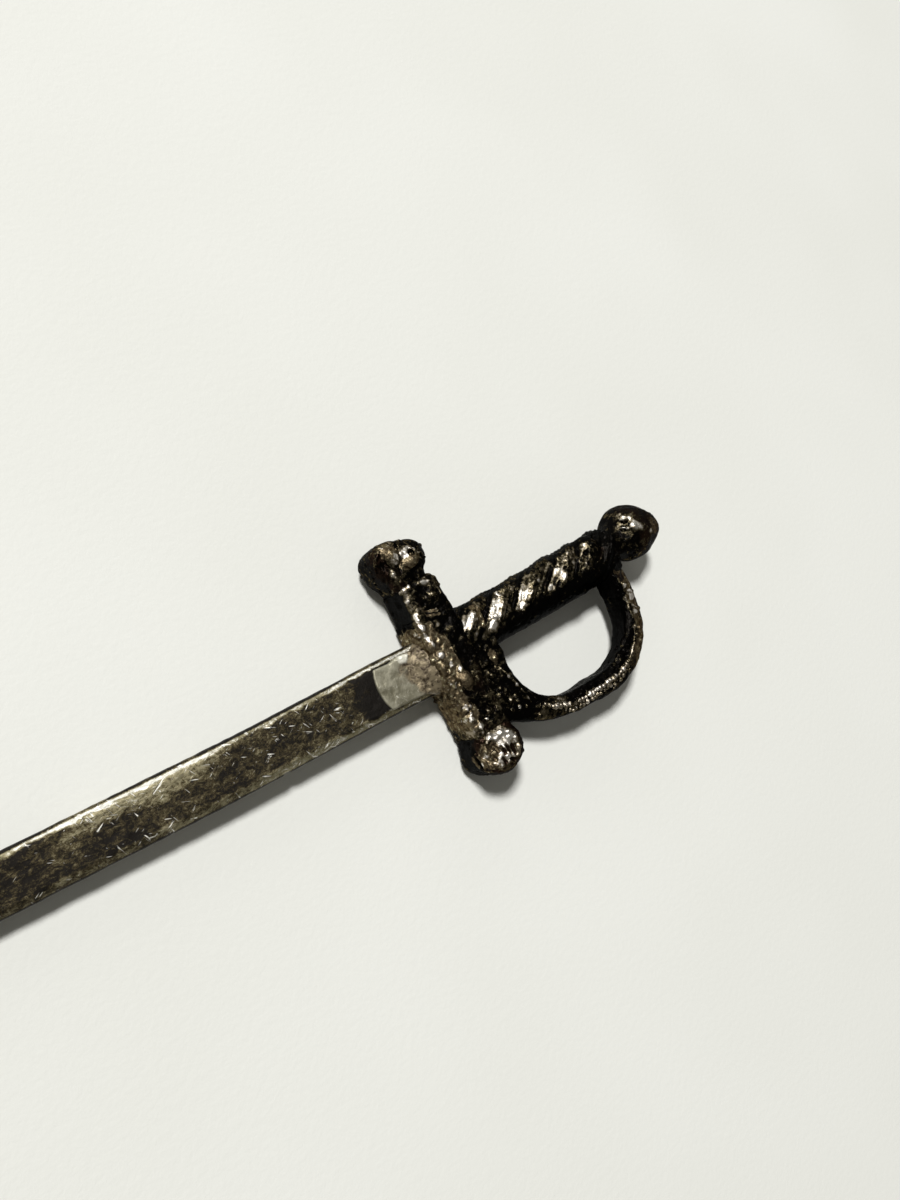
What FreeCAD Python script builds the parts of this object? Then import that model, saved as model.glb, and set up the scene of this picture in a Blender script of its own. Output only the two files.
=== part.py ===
"""Sword-shaped hat pin: a flat blade soldered into a cast hilt with a twisted
grip, two quillon finials, a D-shaped knuckle bow and a ball pommel.

Frame, in millimetres: the origin is on the blade's centreline where the blade
meets the crossguard.  +X runs to the pommel and -X to the point, +Y points away
from the knuckle bow, and +Z is square to the flat of the blade.

The hilt is set a few degrees off the blade, so the hilt parts are drawn in a
hilt frame of their own: its x axis is the grip's axis, and its origin is where
that axis crosses the middle of the crossguard.
"""
import FreeCAD, Part
import os

import Sketcher

V = FreeCAD.Vector
START, END, CENTRE = 1, 2, 3
X_AXIS, Y_AXIS, ORIGIN = -1, -2, -1

# ------------------------------------------------------------------ dimensions
DIMENSIONS = {
    # blade
    "blade_length": 75.0,
    "blade_tip_length": 9.0,
    "blade_root_width": 3.15,
    "blade_tip_width": 1.85,
    "blade_point_width": 0.24,
    "blade_thickness": 0.9,
    "blade_tip_thickness": 0.7,
    "blade_edge_thickness": 0.34,
    "blade_bevel": 0.38,
    "blade_root_gap": 0.1,
    "tenon_width": 1.4,
    "tenon_thickness": 0.5,
    "tenon_length": 1.0,
    "tenon_clearance": 0.08,
    # solder at the blade's root
    "solder_length": 3.25,
    "solder_width": 2.3,
    "solder_bottom": 0.34,
    "solder_film": 0.58,
    "solder_fillet": 0.42,
    "solder_crest_gap": 0.06,
    "solder_overlap": 0.1,
    "solder_front_radius": 2.6,
    # hilt frame
    "hilt_cant": 3.5,
    "hilt_rise": 0.98,
    # crossguard
    "guard_width": 2.3,
    "guard_height": 2.8,
    "guard_upper_arm": 3.8,
    "guard_lower_arm": 5.65,
    "guard_edge_radius": 0.4,
    # finials
    "upper_neck_radius": 1.15,
    "upper_neck_length": 0.35,
    "upper_swell_length": 1.0,
    "upper_radius": 1.62,
    "upper_length": 2.55,
    "upper_crown_radius": 0.55,
    "upper_dome_radius": 1.75,
    "lobe_groove": 0.3,
    "lobe_groove_lift": 0.1,
    "lower_neck_radius": 1.15,
    "lower_neck_length": 0.2,
    "lower_swell_length": 0.83,
    "lower_radius": 1.75,
    "lower_length": 2.3,
    "lower_crown_radius": 0.6,
    "lower_dome_radius": 1.7,
    "flute_radius": 0.16,
    # tang rod and grip wires
    "tang_radius": 0.29,
    "tang_start": 0.35,
    "tang_end": 17.95,
    "grip_start": 1.16,
    "grip_end": 13.45,
    "grip_overrun": 0.8,
    "wire_radius": 0.59,
    "wire_orbit": 0.91,
    "wire_flare": 0.55,
    "wire_lead": 9.2,
    "wire_phase": 20.0,
    # pommel
    "pommel_neck_radius": 1.2,
    "pommel_radius": 1.85,
    "pommel_centre": 16.2,
    "pommel_rise": 0.2,
    "rivet_radius": 0.58,
    "rivet_height": 0.3,
    # knuckle bow
    "bow_height": 2.0,
    "bow_top": 1.68,
    "bow_leg_inside": 2.96,
    "bow_inside_depth": 6.35,
    "bow_inside_radius": 3.45,
    "bow_inside_end": 12.52,
    "bow_outside_depth": 7.68,
    "bow_outside_radius": 4.75,
    "bow_outside_end": 14.05,
    "bow_heel_depth": 5.6,
    "bow_heel_radius": 11.5,
    "bow_heel_end": 8.0,
    "bow_edge_radius": 0.3,
    "bead_inset": 0.58,
    "bead_heel_reach": 4.2,
    "bead_heel_rise": 2.4,
    "bead_radius": 0.17,
    "bead_end": 2.0,
    # gap between parts that touch, and a length that cuts through any part
    "fit": 0.01,
    "cut_through": 6.0,
}
WIRE_COUNT = 4
FLUTE_COUNT = 18
SAME_LEVEL = 0.01
EDGE_MARGIN = 0.1

# Where the hilt frame's origin stands along the blade: the crossguard's front
# face then crosses the blade's centreline at X = 0.
GUARD_MIDDLE = ("dims.guard_width / 2 / cos(dims.hilt_cant * 1deg)"
                " - dims.hilt_rise * tan(dims.hilt_cant * 1deg)")

doc = FreeCAD.newDocument("hat_pin")
dims = doc.addObject("Spreadsheet::Sheet", "dims")
for row, (word, number) in enumerate(DIMENSIONS.items(), start=1):
    dims.set(f"A{row}", word)
    dims.set(f"B{row}", str(number))
    dims.setAlias(f"B{row}", word)
doc.recompute()


def size(expression):
    """The number that a sheet expression stands for now."""
    return float(dims.evalExpression(expression))


# --------------------------------------------------------------------- placement
def cant_rotation():
    """The hilt's turn about Z from the blade's frame."""
    return FreeCAD.Rotation(V(0, 0, 1), size("dims.hilt_cant"))


def set_in_hilt(item, rotation=FreeCAD.Rotation()):
    """Put an item at the hilt frame's origin, turned with it."""
    item.Placement = FreeCAD.Placement(V(), cant_rotation() * rotation)
    item.setExpression("Placement.Base.x", GUARD_MIDDLE)
    item.setExpression("Placement.Base.y", "dims.hilt_rise")


def add_body(label, in_hilt=True):
    """A body standing in the hilt frame, or in the blade's."""
    body = doc.addObject("PartDesign::Body", label)
    body.Label = label
    if in_hilt:
        set_in_hilt(body)
    return body


# --------------------------------------------------------------- sketch helpers
def origin_feature(body, role):
    """One of a body's own origin planes or axes."""
    return next(item for item in body.Origin.OriginFeatures if item.Role == role)


def add_sketch(body, name, role, offset=None):
    """A sketch on one of the body's origin planes, moved off it by an expression."""
    sketch = body.newObject("Sketcher::SketchObject", name)
    sketch.AttachmentSupport = [(origin_feature(body, role), "")]
    sketch.MapMode = "FlatFace"
    if offset:
        sketch.setExpression("AttachmentOffset.Base.z", offset)
    return sketch


def hold(sketch, geometry, point, x, y):
    """Hold a sketch point at two sheet expressions."""
    for kind, axis, expression in (("DistanceX", Y_AXIS, x), ("DistanceY", X_AXIS, y)):
        value = size(expression)
        if value == 0:
            sketch.addConstraint(Sketcher.Constraint("PointOnObject", geometry, point, axis))
            continue
        ends = (ORIGIN, START, geometry, point)
        if value < 0:
            ends = (geometry, point, ORIGIN, START)
            expression = f"-({expression})"
        index = sketch.addConstraint(Sketcher.Constraint(kind, *ends, abs(value)))
        sketch.setExpression(f"Constraints[{index}]", expression)


def hold_radius(sketch, geometry, expression):
    """Hold a circle's or an arc's radius at a sheet expression."""
    index = sketch.addConstraint(Sketcher.Constraint("Radius", geometry, size(expression)))
    sketch.setExpression(f"Constraints[{index}]", expression)


def arc_between(first, last, radius, turn):
    """The short arc between two points; turn is 1 for leftwards and -1 for rightwards."""
    chord = last - first
    reach = max(radius ** 2 - (chord.Length / 2) ** 2, 0) ** 0.5
    to_left = V(-chord.y, chord.x, 0).normalize() * turn
    centre = (first + last) / 2 + to_left * reach
    start, end = (first, last) if turn > 0 else (last, first)
    return Part.Arc(start, centre - to_left * radius, end)


def outline(sketch, corners, arcs=None, closed=True):
    """Draw lines and arcs through corners given as pairs of sheet expressions.

    arcs maps the number of an edge to its (radius expression, turn).
    """
    arcs = arcs or {}
    points = [V(size(x), size(y), 0) for x, y in corners]
    count = len(points) if closed else len(points) - 1
    edges = []
    for number in range(count):
        first = points[number]
        last = points[(number + 1) % len(points)]
        if number in arcs:
            radius, turn = arcs[number]
            geometry = sketch.addGeometry(arc_between(first, last, size(radius), turn))
            hold_radius(sketch, geometry, radius)
            edges.append((geometry, START, END) if turn > 0 else (geometry, END, START))
        else:
            geometry = sketch.addGeometry(Part.LineSegment(first, last))
            edges.append((geometry, START, END))
    for number in range(count if closed else count - 1):
        geometry, _, end = edges[number]
        follower, start, _ = edges[(number + 1) % count]
        sketch.addConstraint(Sketcher.Constraint("Coincident", geometry, end, follower, start))
    for (geometry, start, _), corner in zip(edges, corners):
        hold(sketch, geometry, start, *corner)
    if not closed:
        geometry, _, end = edges[-1]
        hold(sketch, geometry, end, *corners[-1])


def rectangle(sketch, x_low, x_high, y_low, y_high):
    """Draw a rectangle between four sheet expressions."""
    outline(sketch, [(x_low, y_low), (x_high, y_low), (x_high, y_high), (x_low, y_high)])


def circle(sketch, x, y, radius):
    """Draw a circle with its centre and radius at sheet expressions."""
    geometry = sketch.addGeometry(Part.Circle(V(size(x), size(y), 0), V(0, 0, 1), size(radius)))
    hold_radius(sketch, geometry, radius)
    hold(sketch, geometry, CENTRE, x, y)


# -------------------------------------------------------------- feature helpers
def extrude(body, kind, sketch, length, middle=False, reverse=False):
    """Pad or pocket a sketch by a sheet expression."""
    feature = body.newObject(f"PartDesign::{kind}", f"{sketch.Name}_{kind.lower()}")
    feature.Profile = sketch
    feature.SideType = "Symmetric" if middle else "One side"
    feature.Reversed = reverse
    feature.setExpression("Length", length)
    return feature


def revolve(body, sketch, axis):
    """Turn a sketch once round one of its own axes."""
    feature = body.newObject("PartDesign::Revolution", f"{sketch.Name}_turned")
    feature.Profile = sketch
    feature.ReferenceAxis = (sketch, [axis])
    feature.Angle = 360
    return feature


def sweep(body, kind, profile, path):
    """Run a profile along a path, added to the body or cut from it."""
    feature = body.newObject(f"PartDesign::{kind}", f"{profile.Name}_swept")
    feature.Profile = profile
    feature.Spine = (path, [])
    return feature


def round_edges(body, feature, radius, wanted):
    """Fillet the edges of a feature that a test picks."""
    doc.recompute()
    names = []
    for number, edge in enumerate(feature.Shape.Edges, start=1):
        if wanted(edge):
            names.append(f"Edge{number}")
    fillet = body.newObject("PartDesign::Fillet", f"{body.Name}_fillet")
    fillet.Base = (feature, names)
    fillet.setExpression("Radius", radius)
    return fillet


# ------------------------------------------------------------------------ blade
def blade_section(body, name, offset, width, thickness, edge, bevel):
    """An eight-sided blade section: two flats, four bevels and two thin edges."""
    sketch = add_sketch(body, name, "YZ_Plane", offset)
    flat = f"({width} / 2 - {bevel})"
    corners = []
    for side_y, side_z in ((1, 1), (-1, 1), (-1, -1), (1, -1)):
        pair = [(f"{side_y} * {width} / 2", f"{side_z} * {edge} / 2"),
                (f"{side_y} * {flat}", f"{side_z} * {thickness} / 2")]
        corners += pair if side_y == side_z else pair[::-1]
    outline(sketch, corners)
    return sketch


def make_blade():
    """A long tapered blade with a sharp point and a tenon behind its root."""
    body = add_body("blade", in_hilt=False)
    root = blade_section(body, "root_section", "-dims.blade_root_gap", "dims.blade_root_width",
                         "dims.blade_thickness", "dims.blade_edge_thickness", "dims.blade_bevel")
    tip = blade_section(body, "tip_section", "dims.blade_tip_length - dims.blade_length",
                        "dims.blade_tip_width", "dims.blade_tip_thickness",
                        "dims.blade_edge_thickness", "dims.blade_bevel")
    point = blade_section(body, "point_section", "-dims.blade_length", "dims.blade_point_width",
                          "dims.blade_point_width", "(dims.blade_point_width / 2)",
                          "(dims.blade_point_width / 4)")
    loft = body.newObject("PartDesign::AdditiveLoft", "blade_loft")
    loft.Profile = root
    loft.Sections = [tip, point]
    loft.Ruled = True

    tenon = add_sketch(body, "tenon_section", "YZ_Plane", "-dims.blade_root_gap")
    rectangle(tenon, "-dims.tenon_width / 2", "dims.tenon_width / 2",
              "-dims.tenon_thickness / 2", "dims.tenon_thickness / 2")
    extrude(body, "Pad", tenon, "dims.tenon_length + dims.blade_root_gap")
    return body


# ------------------------------------------------------------------- crossguard
def make_crossguard():
    """A bar with rounded long edges, slotted in front and bored behind."""
    body = add_body("crossguard")
    plan = add_sketch(body, "guard_plan", "XY_Plane")
    rectangle(plan, "-dims.guard_width / 2", "dims.guard_width / 2",
              "-dims.guard_lower_arm", "dims.guard_upper_arm")
    bar = extrude(body, "Pad", plan, "dims.guard_height", middle=True)
    shortest = size("dims.guard_upper_arm")
    round_edges(body, bar, "dims.guard_edge_radius", lambda edge: edge.Length > shortest)

    slot = add_sketch(body, "tenon_slot", "YZ_Plane", "-dims.guard_width / 2")
    half_width = "(dims.tenon_width / 2 + dims.tenon_clearance)"
    half_height = "(dims.tenon_thickness / 2 + dims.tenon_clearance)"
    # moved over by the clearance, since the tenon runs a little aslant to the guard
    rectangle(slot, f"-dims.hilt_rise - {half_width} + dims.tenon_clearance",
              f"-dims.hilt_rise + {half_width} + dims.tenon_clearance",
              f"-{half_height}", half_height)
    extrude(body, "Pocket", slot, "dims.tenon_length + dims.tenon_clearance * 2", reverse=True)

    bore = add_sketch(body, "tang_bore", "YZ_Plane", "dims.guard_width / 2")
    circle(bore, "0", "0", "dims.tang_radius + dims.fit")
    extrude(body, "Pocket", bore, "dims.guard_width / 2 - dims.tang_start")
    return body


# ---------------------------------------------------------------------- finials
def turn_finial(body, word, base, side):
    """Turn a necked, domed finial round the bar's axis; side is its Y direction."""
    def reach(length):
        return f"{base} + {side} * ({length})"

    neck = f"dims.{word}_neck_length"
    length = f"dims.{word}_length"
    swell = f"dims.{word}_swell_length"
    profile = add_sketch(body, f"{word}_profile", "XY_Plane")
    corners = [("0", reach("0")), (f"dims.{word}_neck_radius", reach("0")),
               (f"dims.{word}_neck_radius", reach(neck)),
               (f"dims.{word}_radius", reach(swell)),
               (f"dims.{word}_crown_radius", reach(length)), ("0", reach(length))]
    outline(profile, corners, {3: (f"dims.{word}_dome_radius", side)})
    return revolve(body, profile, "V_Axis")


def make_upper_finial():
    """A knob of two lobes: a channel along its top and another along its back."""
    body = add_body("quillon_finial_upper")
    turn_finial(body, "upper", "dims.guard_upper_arm", 1)
    channel = add_sketch(body, "lobe_channel", "XZ_Plane",
                         "-(dims.guard_upper_arm + dims.upper_neck_length + dims.lobe_groove)")
    lift = "dims.upper_radius + dims.lobe_groove_lift"
    circle(channel, "0", lift, "dims.lobe_groove")
    circle(channel, "0", f"-({lift})", "dims.lobe_groove")
    extrude(body, "Pocket", channel, "dims.upper_length")
    return body


def make_lower_finial():
    """A fluted, shell-like knob."""
    body = add_body("quillon_finial_lower")
    turn_finial(body, "lower", "-dims.guard_lower_arm", -1)
    flute = add_sketch(body, "flute", "XZ_Plane",
                       "dims.guard_lower_arm + dims.lower_neck_length + 2 * dims.flute_radius")
    circle(flute, "0", "dims.lower_radius", "dims.flute_radius")
    cut = extrude(body, "Pocket", flute, "dims.lower_length", reverse=True)
    ring = body.newObject("PartDesign::PolarPattern", "flutes")
    ring.Originals = [cut]
    ring.Axis = (origin_feature(body, "Y_Axis"), [""])
    ring.Angle = 360
    ring.Occurrences = FLUTE_COUNT
    body.Tip = ring
    return body


# ------------------------------------------------------------------------- grip
def make_tang_rod():
    """The rod that the guard, the grip wires and the pommel are strung on."""
    body = add_body("tang_rod")
    section = add_sketch(body, "tang_section", "YZ_Plane", "dims.tang_start")
    circle(section, "0", "0", "dims.tang_radius")
    extrude(body, "Pad", section, "dims.tang_end - dims.tang_start")
    return body


def make_grip_wire(number):
    """One strand of the twist: a left-handed helix of round wire, cut square at both ends."""
    along_x = FreeCAD.Rotation(V(0, 1, 0), 90)
    spin = size("dims.wire_phase") + 360 / WIRE_COUNT * number
    turned = along_x * FreeCAD.Rotation(V(0, 0, 1), spin)

    path = doc.addObject("Part::Helix", f"wire_path_{number + 1}")
    path.LocalCoord = "Left-handed"
    path.setExpression("Radius", "dims.wire_orbit")
    path.setExpression("Pitch", "dims.wire_lead")
    path.setExpression("Angle", "dims.wire_flare")
    path.setExpression("Height", "dims.grip_end - dims.grip_start + 2 * dims.grip_overrun")

    section = doc.addObject("Part::Circle", f"wire_section_{number + 1}")
    lean = size("atan(2 * pi * dims.wire_orbit / dims.wire_lead)")
    section.Placement = FreeCAD.Placement(V(), FreeCAD.Rotation(V(1, 0, 0), lean))
    section.setExpression("Placement.Base.x", "dims.wire_orbit")
    section.setExpression("Radius", "dims.wire_radius")

    strand = doc.addObject("Part::Sweep", f"wire_strand_{number + 1}")
    strand.Sections = [section]
    strand.Spine = (path, [])
    strand.Solid = True
    strand.Frenet = True
    strand.Placement = FreeCAD.Placement(V(), turned)
    strand.setExpression("Placement.Base.x", "dims.grip_start - dims.grip_overrun")

    span = doc.addObject("Part::Cylinder", f"grip_span_{number + 1}")
    span.Placement = FreeCAD.Placement(V(), along_x)
    span.setExpression("Placement.Base.x", "dims.grip_start")
    span.setExpression("Radius", "dims.wire_orbit + 2 * dims.wire_radius")
    span.setExpression("Height", "dims.grip_end - dims.grip_start")

    wire = doc.addObject("Part::Common", f"grip_wire_{number + 1}")
    wire.Label = f"grip_wire_{number + 1}"
    wire.Base = strand
    wire.Tool = span
    set_in_hilt(wire)
    return wire


# ----------------------------------------------------------------------- pommel
def make_pommel():
    """A ball on a short neck, flat behind and bored for the tang rod."""
    body = add_body("pommel")
    body.setExpression("Placement.Base.y", "dims.hilt_rise + dims.pommel_rise")

    def ball_reach(distance):
        """How far the ball's surface is from one of its axes, at a distance along it."""
        return f"sqrt(dims.pommel_radius ^ 2 - ({distance}) ^ 2)"

    profile = add_sketch(body, "pommel_profile", "XY_Plane")
    neck_start = "dims.grip_end + dims.fit"
    neck_end = f"dims.pommel_centre - {ball_reach('dims.pommel_neck_radius')}"
    corners = [(neck_start, "0"), ("dims.tang_end", "0"),
               ("dims.tang_end", ball_reach("dims.tang_end - dims.pommel_centre")),
               (neck_end, "dims.pommel_neck_radius"), (neck_start, "dims.pommel_neck_radius")]
    outline(profile, corners, {2: ("dims.pommel_radius", 1)})
    revolve(body, profile, "H_Axis")

    bore = add_sketch(body, "pommel_bore", "YZ_Plane", "dims.grip_end")
    circle(bore, "-dims.pommel_rise", "0", "dims.tang_radius + dims.fit")
    extrude(body, "Pocket", bore, "dims.cut_through", reverse=True)
    return body


def make_pommel_rivet():
    """The tang's peened head."""
    body = add_body("pommel_rivet")
    profile = add_sketch(body, "rivet_profile", "XY_Plane")
    top = "dims.tang_end + dims.fit + dims.rivet_height"
    corners = [("dims.tang_end + dims.fit", "0"), (top, "0"), (top, "dims.rivet_radius / 2"),
               ("dims.tang_end + dims.fit", "dims.rivet_radius")]
    outline(profile, corners, {2: ("dims.rivet_radius", 1)})
    revolve(body, profile, "H_Axis")
    return body


# ------------------------------------------------------------------ knuckle bow
def bead_path(body, name):
    """The line of the bow's crest, from the bow's top end round to the heel."""
    radius = "(dims.bow_inside_radius + dims.bead_inset)"
    depth = "-(dims.bow_inside_depth + dims.bead_inset)"
    end = "dims.bow_inside_end + dims.bead_inset"
    foot = f"dims.bow_leg_inside + {radius}"
    heel = (f"{foot} - dims.bead_heel_reach", f"{depth} + dims.bead_heel_rise")
    heel_radius = "(dims.bead_heel_reach ^ 2 + dims.bead_heel_rise ^ 2) / (2 * dims.bead_heel_rise)"
    path = add_sketch(body, name, "XY_Plane", "dims.bow_height / 2")
    corners = [(end, "-dims.bead_end"), (end, f"{depth} + {radius}"),
               (f"{end} - {radius}", depth), (foot, depth), heel]
    outline(path, corners, {1: (radius, -1), 3: (heel_radius, -1)}, closed=False)
    return path


def bead_section(body, name, radius):
    """The bead wire's round section, across the top end of its path."""
    section = add_sketch(body, name, "XZ_Plane", "dims.bead_end")
    circle(section, "dims.bow_inside_end + dims.bead_inset", "dims.bow_height / 2", radius)
    return section


def make_knuckle_bow():
    """A flat D-shaped bow: a stout leg down the guard, a heel, and a thinner curve."""
    body = add_body("knuckle_bow")
    plan = add_sketch(body, "bow_plan", "XY_Plane")
    back = "dims.guard_width / 2 + dims.fit"
    inside = "-dims.bow_inside_depth"
    outside = "-dims.bow_outside_depth"
    corners = [
        (back, "-dims.bow_top"),
        (back, "-dims.bow_heel_depth"),
        ("dims.bow_heel_end", outside),
        ("dims.bow_outside_end - dims.bow_outside_radius", outside),
        ("dims.bow_outside_end", f"{outside} + dims.bow_outside_radius"),
        ("dims.bow_outside_end", "-dims.bow_top"),
        ("dims.bow_inside_end", "-dims.bow_top"),
        ("dims.bow_inside_end", f"{inside} + dims.bow_inside_radius"),
        ("dims.bow_inside_end - dims.bow_inside_radius", inside),
        ("dims.bow_leg_inside + dims.bow_inside_radius", inside),
        ("dims.bow_leg_inside", f"{inside} + dims.bow_inside_radius"),
        ("dims.bow_leg_inside", "-dims.bow_top"),
    ]
    arcs = {1: ("dims.bow_heel_radius", 1), 3: ("dims.bow_outside_radius", 1),
            7: ("dims.bow_inside_radius", -1), 9: ("dims.bow_inside_radius", -1)}
    outline(plan, corners, arcs)
    pad = extrude(body, "Pad", plan, "dims.bow_height", middle=True)
    clear_of_guard = size(back) + EDGE_MARGIN
    clear_of_grip = -size("dims.bow_top") - EDGE_MARGIN

    def is_rim(edge):
        box = edge.BoundBox
        level = box.ZMax - box.ZMin < SAME_LEVEL
        return level and box.XMax > clear_of_guard and box.YMin < clear_of_grip

    round_edges(body, pad, "dims.bow_edge_radius", is_rim)

    path = bead_path(body, "groove_path")
    groove = bead_section(body, "groove_section", "dims.bead_radius + dims.fit")
    sweep(body, "SubtractivePipe", groove, path)
    return body


def make_bow_bead_wire():
    """The beaded wire let into the bow's crest."""
    body = add_body("bow_bead_wire")
    path = bead_path(body, "wire_crest")
    section = bead_section(body, "bead_wire_section", "dims.bead_radius")
    sweep(body, "AdditivePipe", section, path)
    return body


# ----------------------------------------------------------------------- solder
def make_blade_solder(blade, crossguard):
    """A solder film with a bowed front, rising in a fillet to the guard's face."""
    lump = add_body("solder_lump", in_hilt=False)
    plan = add_sketch(lump, "solder_plan", "XY_Plane", "dims.solder_bottom")
    front = "-dims.solder_length"
    half = "dims.solder_width / 2"
    inside = "dims.solder_overlap"
    outline(plan, [(inside, f"-{half}"), (inside, half), (front, half), (front, f"-{half}")],
            {2: ("dims.solder_front_radius", 1)})
    extrude(lump, "Pad", plan, "dims.guard_height / 2 - dims.solder_bottom - dims.guard_edge_radius")
    over = add_sketch(lump, "solder_top", "XZ_Plane")
    film = "dims.solder_film"
    crest = f"{film} + dims.solder_fillet"
    far = "dims.cut_through"
    corners = [(f"-{far}", film), ("-dims.solder_fillet", film), ("-dims.solder_crest_gap", crest),
               (far, crest), (far, far), (f"-{far}", far)]
    outline(over, corners, {1: ("dims.solder_fillet", 1)})
    extrude(lump, "Pocket", over, "2 * dims.solder_width", middle=True)

    clear_of_guard = doc.addObject("Part::Cut", "solder_clear_of_guard")
    clear_of_guard.Base = lump
    clear_of_guard.Tool = crossguard
    solder = doc.addObject("Part::Cut", "blade_solder")
    solder.Label = "blade_solder"
    solder.Base = clear_of_guard
    solder.Tool = blade
    return solder


# -------------------------------------------------------------- build and export
blade = make_blade()
crossguard = make_crossguard()
doc.recompute()
pieces = [
    blade,
    make_blade_solder(blade, crossguard),
    crossguard,
    make_upper_finial(),
    make_lower_finial(),
    make_tang_rod(),
    *[make_grip_wire(number) for number in range(WIRE_COUNT)],
    make_pommel(),
    make_pommel_rivet(),
    make_knuckle_bow(),
    make_bow_bead_wire(),
]
doc.recompute()

os.makedirs("parts", exist_ok=True)
for item in doc.Objects:
    if {"Invalid", "Error"} & set(item.State):
        raise RuntimeError(f"{item.Label} didn't build: {item.State}")
for piece in pieces:
    if piece.Shape.isNull() or not piece.Shape.isValid():
        raise RuntimeError(f"{piece.Label} has no valid shape")
    piece.Shape.exportStep(f"parts/{piece.Label}.step")
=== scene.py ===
"""Looks for a sword-shaped hat pin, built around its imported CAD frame.

The hilt pieces are modelled like lumps of clay: a signed distance field on a
fine grid, joined, dabbed, pitted and roughened, and then turned into one closed
mesh.  They are drawn in the hilt's own frame, in millimetres: its x axis is the
grip's axis, its origin is where that axis crosses the middle of the crossguard,
y points away from the knuckle bow and z is square to the flat of the blade.
The blade and its solder are drawn in the row frame, also in millimetres.
"""
import itertools
import math

import bpy
import numpy as np
import openvdb
from mathutils import Matrix, Vector


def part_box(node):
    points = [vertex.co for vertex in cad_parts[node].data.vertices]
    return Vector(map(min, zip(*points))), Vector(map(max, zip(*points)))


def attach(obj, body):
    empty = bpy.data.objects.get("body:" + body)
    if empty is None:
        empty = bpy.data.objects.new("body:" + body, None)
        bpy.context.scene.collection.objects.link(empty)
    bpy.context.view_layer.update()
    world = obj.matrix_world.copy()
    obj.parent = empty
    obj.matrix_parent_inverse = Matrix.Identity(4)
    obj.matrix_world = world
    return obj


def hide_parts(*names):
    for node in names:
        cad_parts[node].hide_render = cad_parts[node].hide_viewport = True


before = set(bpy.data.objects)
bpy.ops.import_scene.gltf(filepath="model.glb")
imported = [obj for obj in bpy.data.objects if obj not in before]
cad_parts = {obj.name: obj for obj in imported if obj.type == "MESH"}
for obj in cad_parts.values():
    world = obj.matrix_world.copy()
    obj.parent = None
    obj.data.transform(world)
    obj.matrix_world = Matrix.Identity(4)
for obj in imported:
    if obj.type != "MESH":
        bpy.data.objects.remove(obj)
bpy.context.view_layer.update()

MM = 0.001
FAR = 9.0
# sizes of the clay's cells, in millimetres
CELL, RIVET_CELL, BOW_CELL, GRIP_CELL, FINE_CELL = 0.045, 0.03, 0.047, 0.05, 0.035
# how near the surface, in millimetres, noise is worked out
SKIN_DEPTH = 0.3


# ---------- hilt frame
def node_points(name):
    """The corners of a CAD node's mesh, in millimetres, in the row frame."""
    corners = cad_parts[name].data.vertices
    flat = np.zeros(len(corners) * 3, np.float32)
    corners.foreach_get("co", flat)
    return flat.reshape(-1, 3).astype(float) / MM


def hilt_frame():
    """The hilt frame's origin, and its x and y axes, from the tang rod and the guard."""
    rod = node_points("tang_rod")
    middle = (rod[:, 0].min() + rod[:, 0].max()) / 2
    heel = rod[rod[:, 0] < middle].mean(axis=0)
    along = rod[rod[:, 0] > middle].mean(axis=0) - heel
    along[2] = 0.0
    along /= np.linalg.norm(along)
    across = np.array([-along[1], along[0], 0.0])
    reach = (node_points("crossguard") - heel) @ along
    origin = heel + along * (reach.min() + reach.max()) / 2
    origin[2] = 0.0
    return origin, along, across


ORIGIN, ALONG, ACROSS = hilt_frame()


def hilt_to_row(points):
    """Points of the hilt frame, in the row frame."""
    return ORIGIN + points[:, :1] * ALONG + points[:, 1:2] * ACROSS + points[:, 2:] * (0, 0, 1)


def hilt_box(name):
    """A CAD node's lowest and highest corner in the hilt frame."""
    away = node_points(name) - ORIGIN
    turned = np.stack([away @ ALONG, away @ ACROSS, away[:, 2]], axis=1)
    return turned.min(axis=0), turned.max(axis=0)


# ---------- noise
# numbers that scramble a cell's place and a seed
HASH_PRIMES = np.array([2654435761, 2246822519, 3266489917], np.uint32)
SEED_PRIME, MIX_FACTOR = 668265263, np.uint32(2146121005)
SEED_SHIFT = 0.37


def lattice(cells, seed):
    """A repeatable number from -1 to 1 for each whole-number cell."""
    key = cells.astype(np.int64).astype(np.uint32) * HASH_PRIMES
    mixed = key[:, 0] ^ key[:, 1] ^ key[:, 2] ^ np.uint32(seed * SEED_PRIME % 2**32)
    for shift in (15, 13, 16):
        mixed ^= mixed >> np.uint32(shift)
        mixed *= MIX_FACTOR
    mixed ^= mixed >> np.uint32(15)
    return mixed.astype(np.float64) / 2**31 - 1.0


def mixed(low, share, value_at):
    """A smooth value between whole-number cells, from the eight round each place."""
    total = np.zeros(len(low))
    for corner in itertools.product((0, 1), repeat=3):
        weight = np.where(corner, share, 1.0 - share).prod(axis=1)
        total += weight * value_at(low + corner)
    return total


def noise(points, bump, seed):
    """Smooth noise from -1 to 1, with bumps about that many millimetres apart."""
    place = np.asarray(points, float) / bump + SEED_SHIFT * seed
    low = np.floor(place)
    share = place - low
    return mixed(low, share * share * (3.0 - 2.0 * share), lambda cells: lattice(cells, seed))


def rough(points, bump, seed, octaves=3):
    """Noise with finer, fainter noise on it."""
    return sum(noise(points, bump / 2**i, seed + i) / 2**i for i in range(octaves))


def wavering(points, amount, bump, seeds, octaves=3):
    """Points moved about by noise, so that what is drawn round them wavers."""
    return points + amount * np.stack([rough(points, bump, seed, octaves) for seed in seeds], axis=1)


def step(value, low, high):
    """0 below low, 1 above high, and smooth between."""
    share = np.clip((value - low) / (high - low), 0.0, 1.0)
    return share * share * (3.0 - 2.0 * share)


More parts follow.
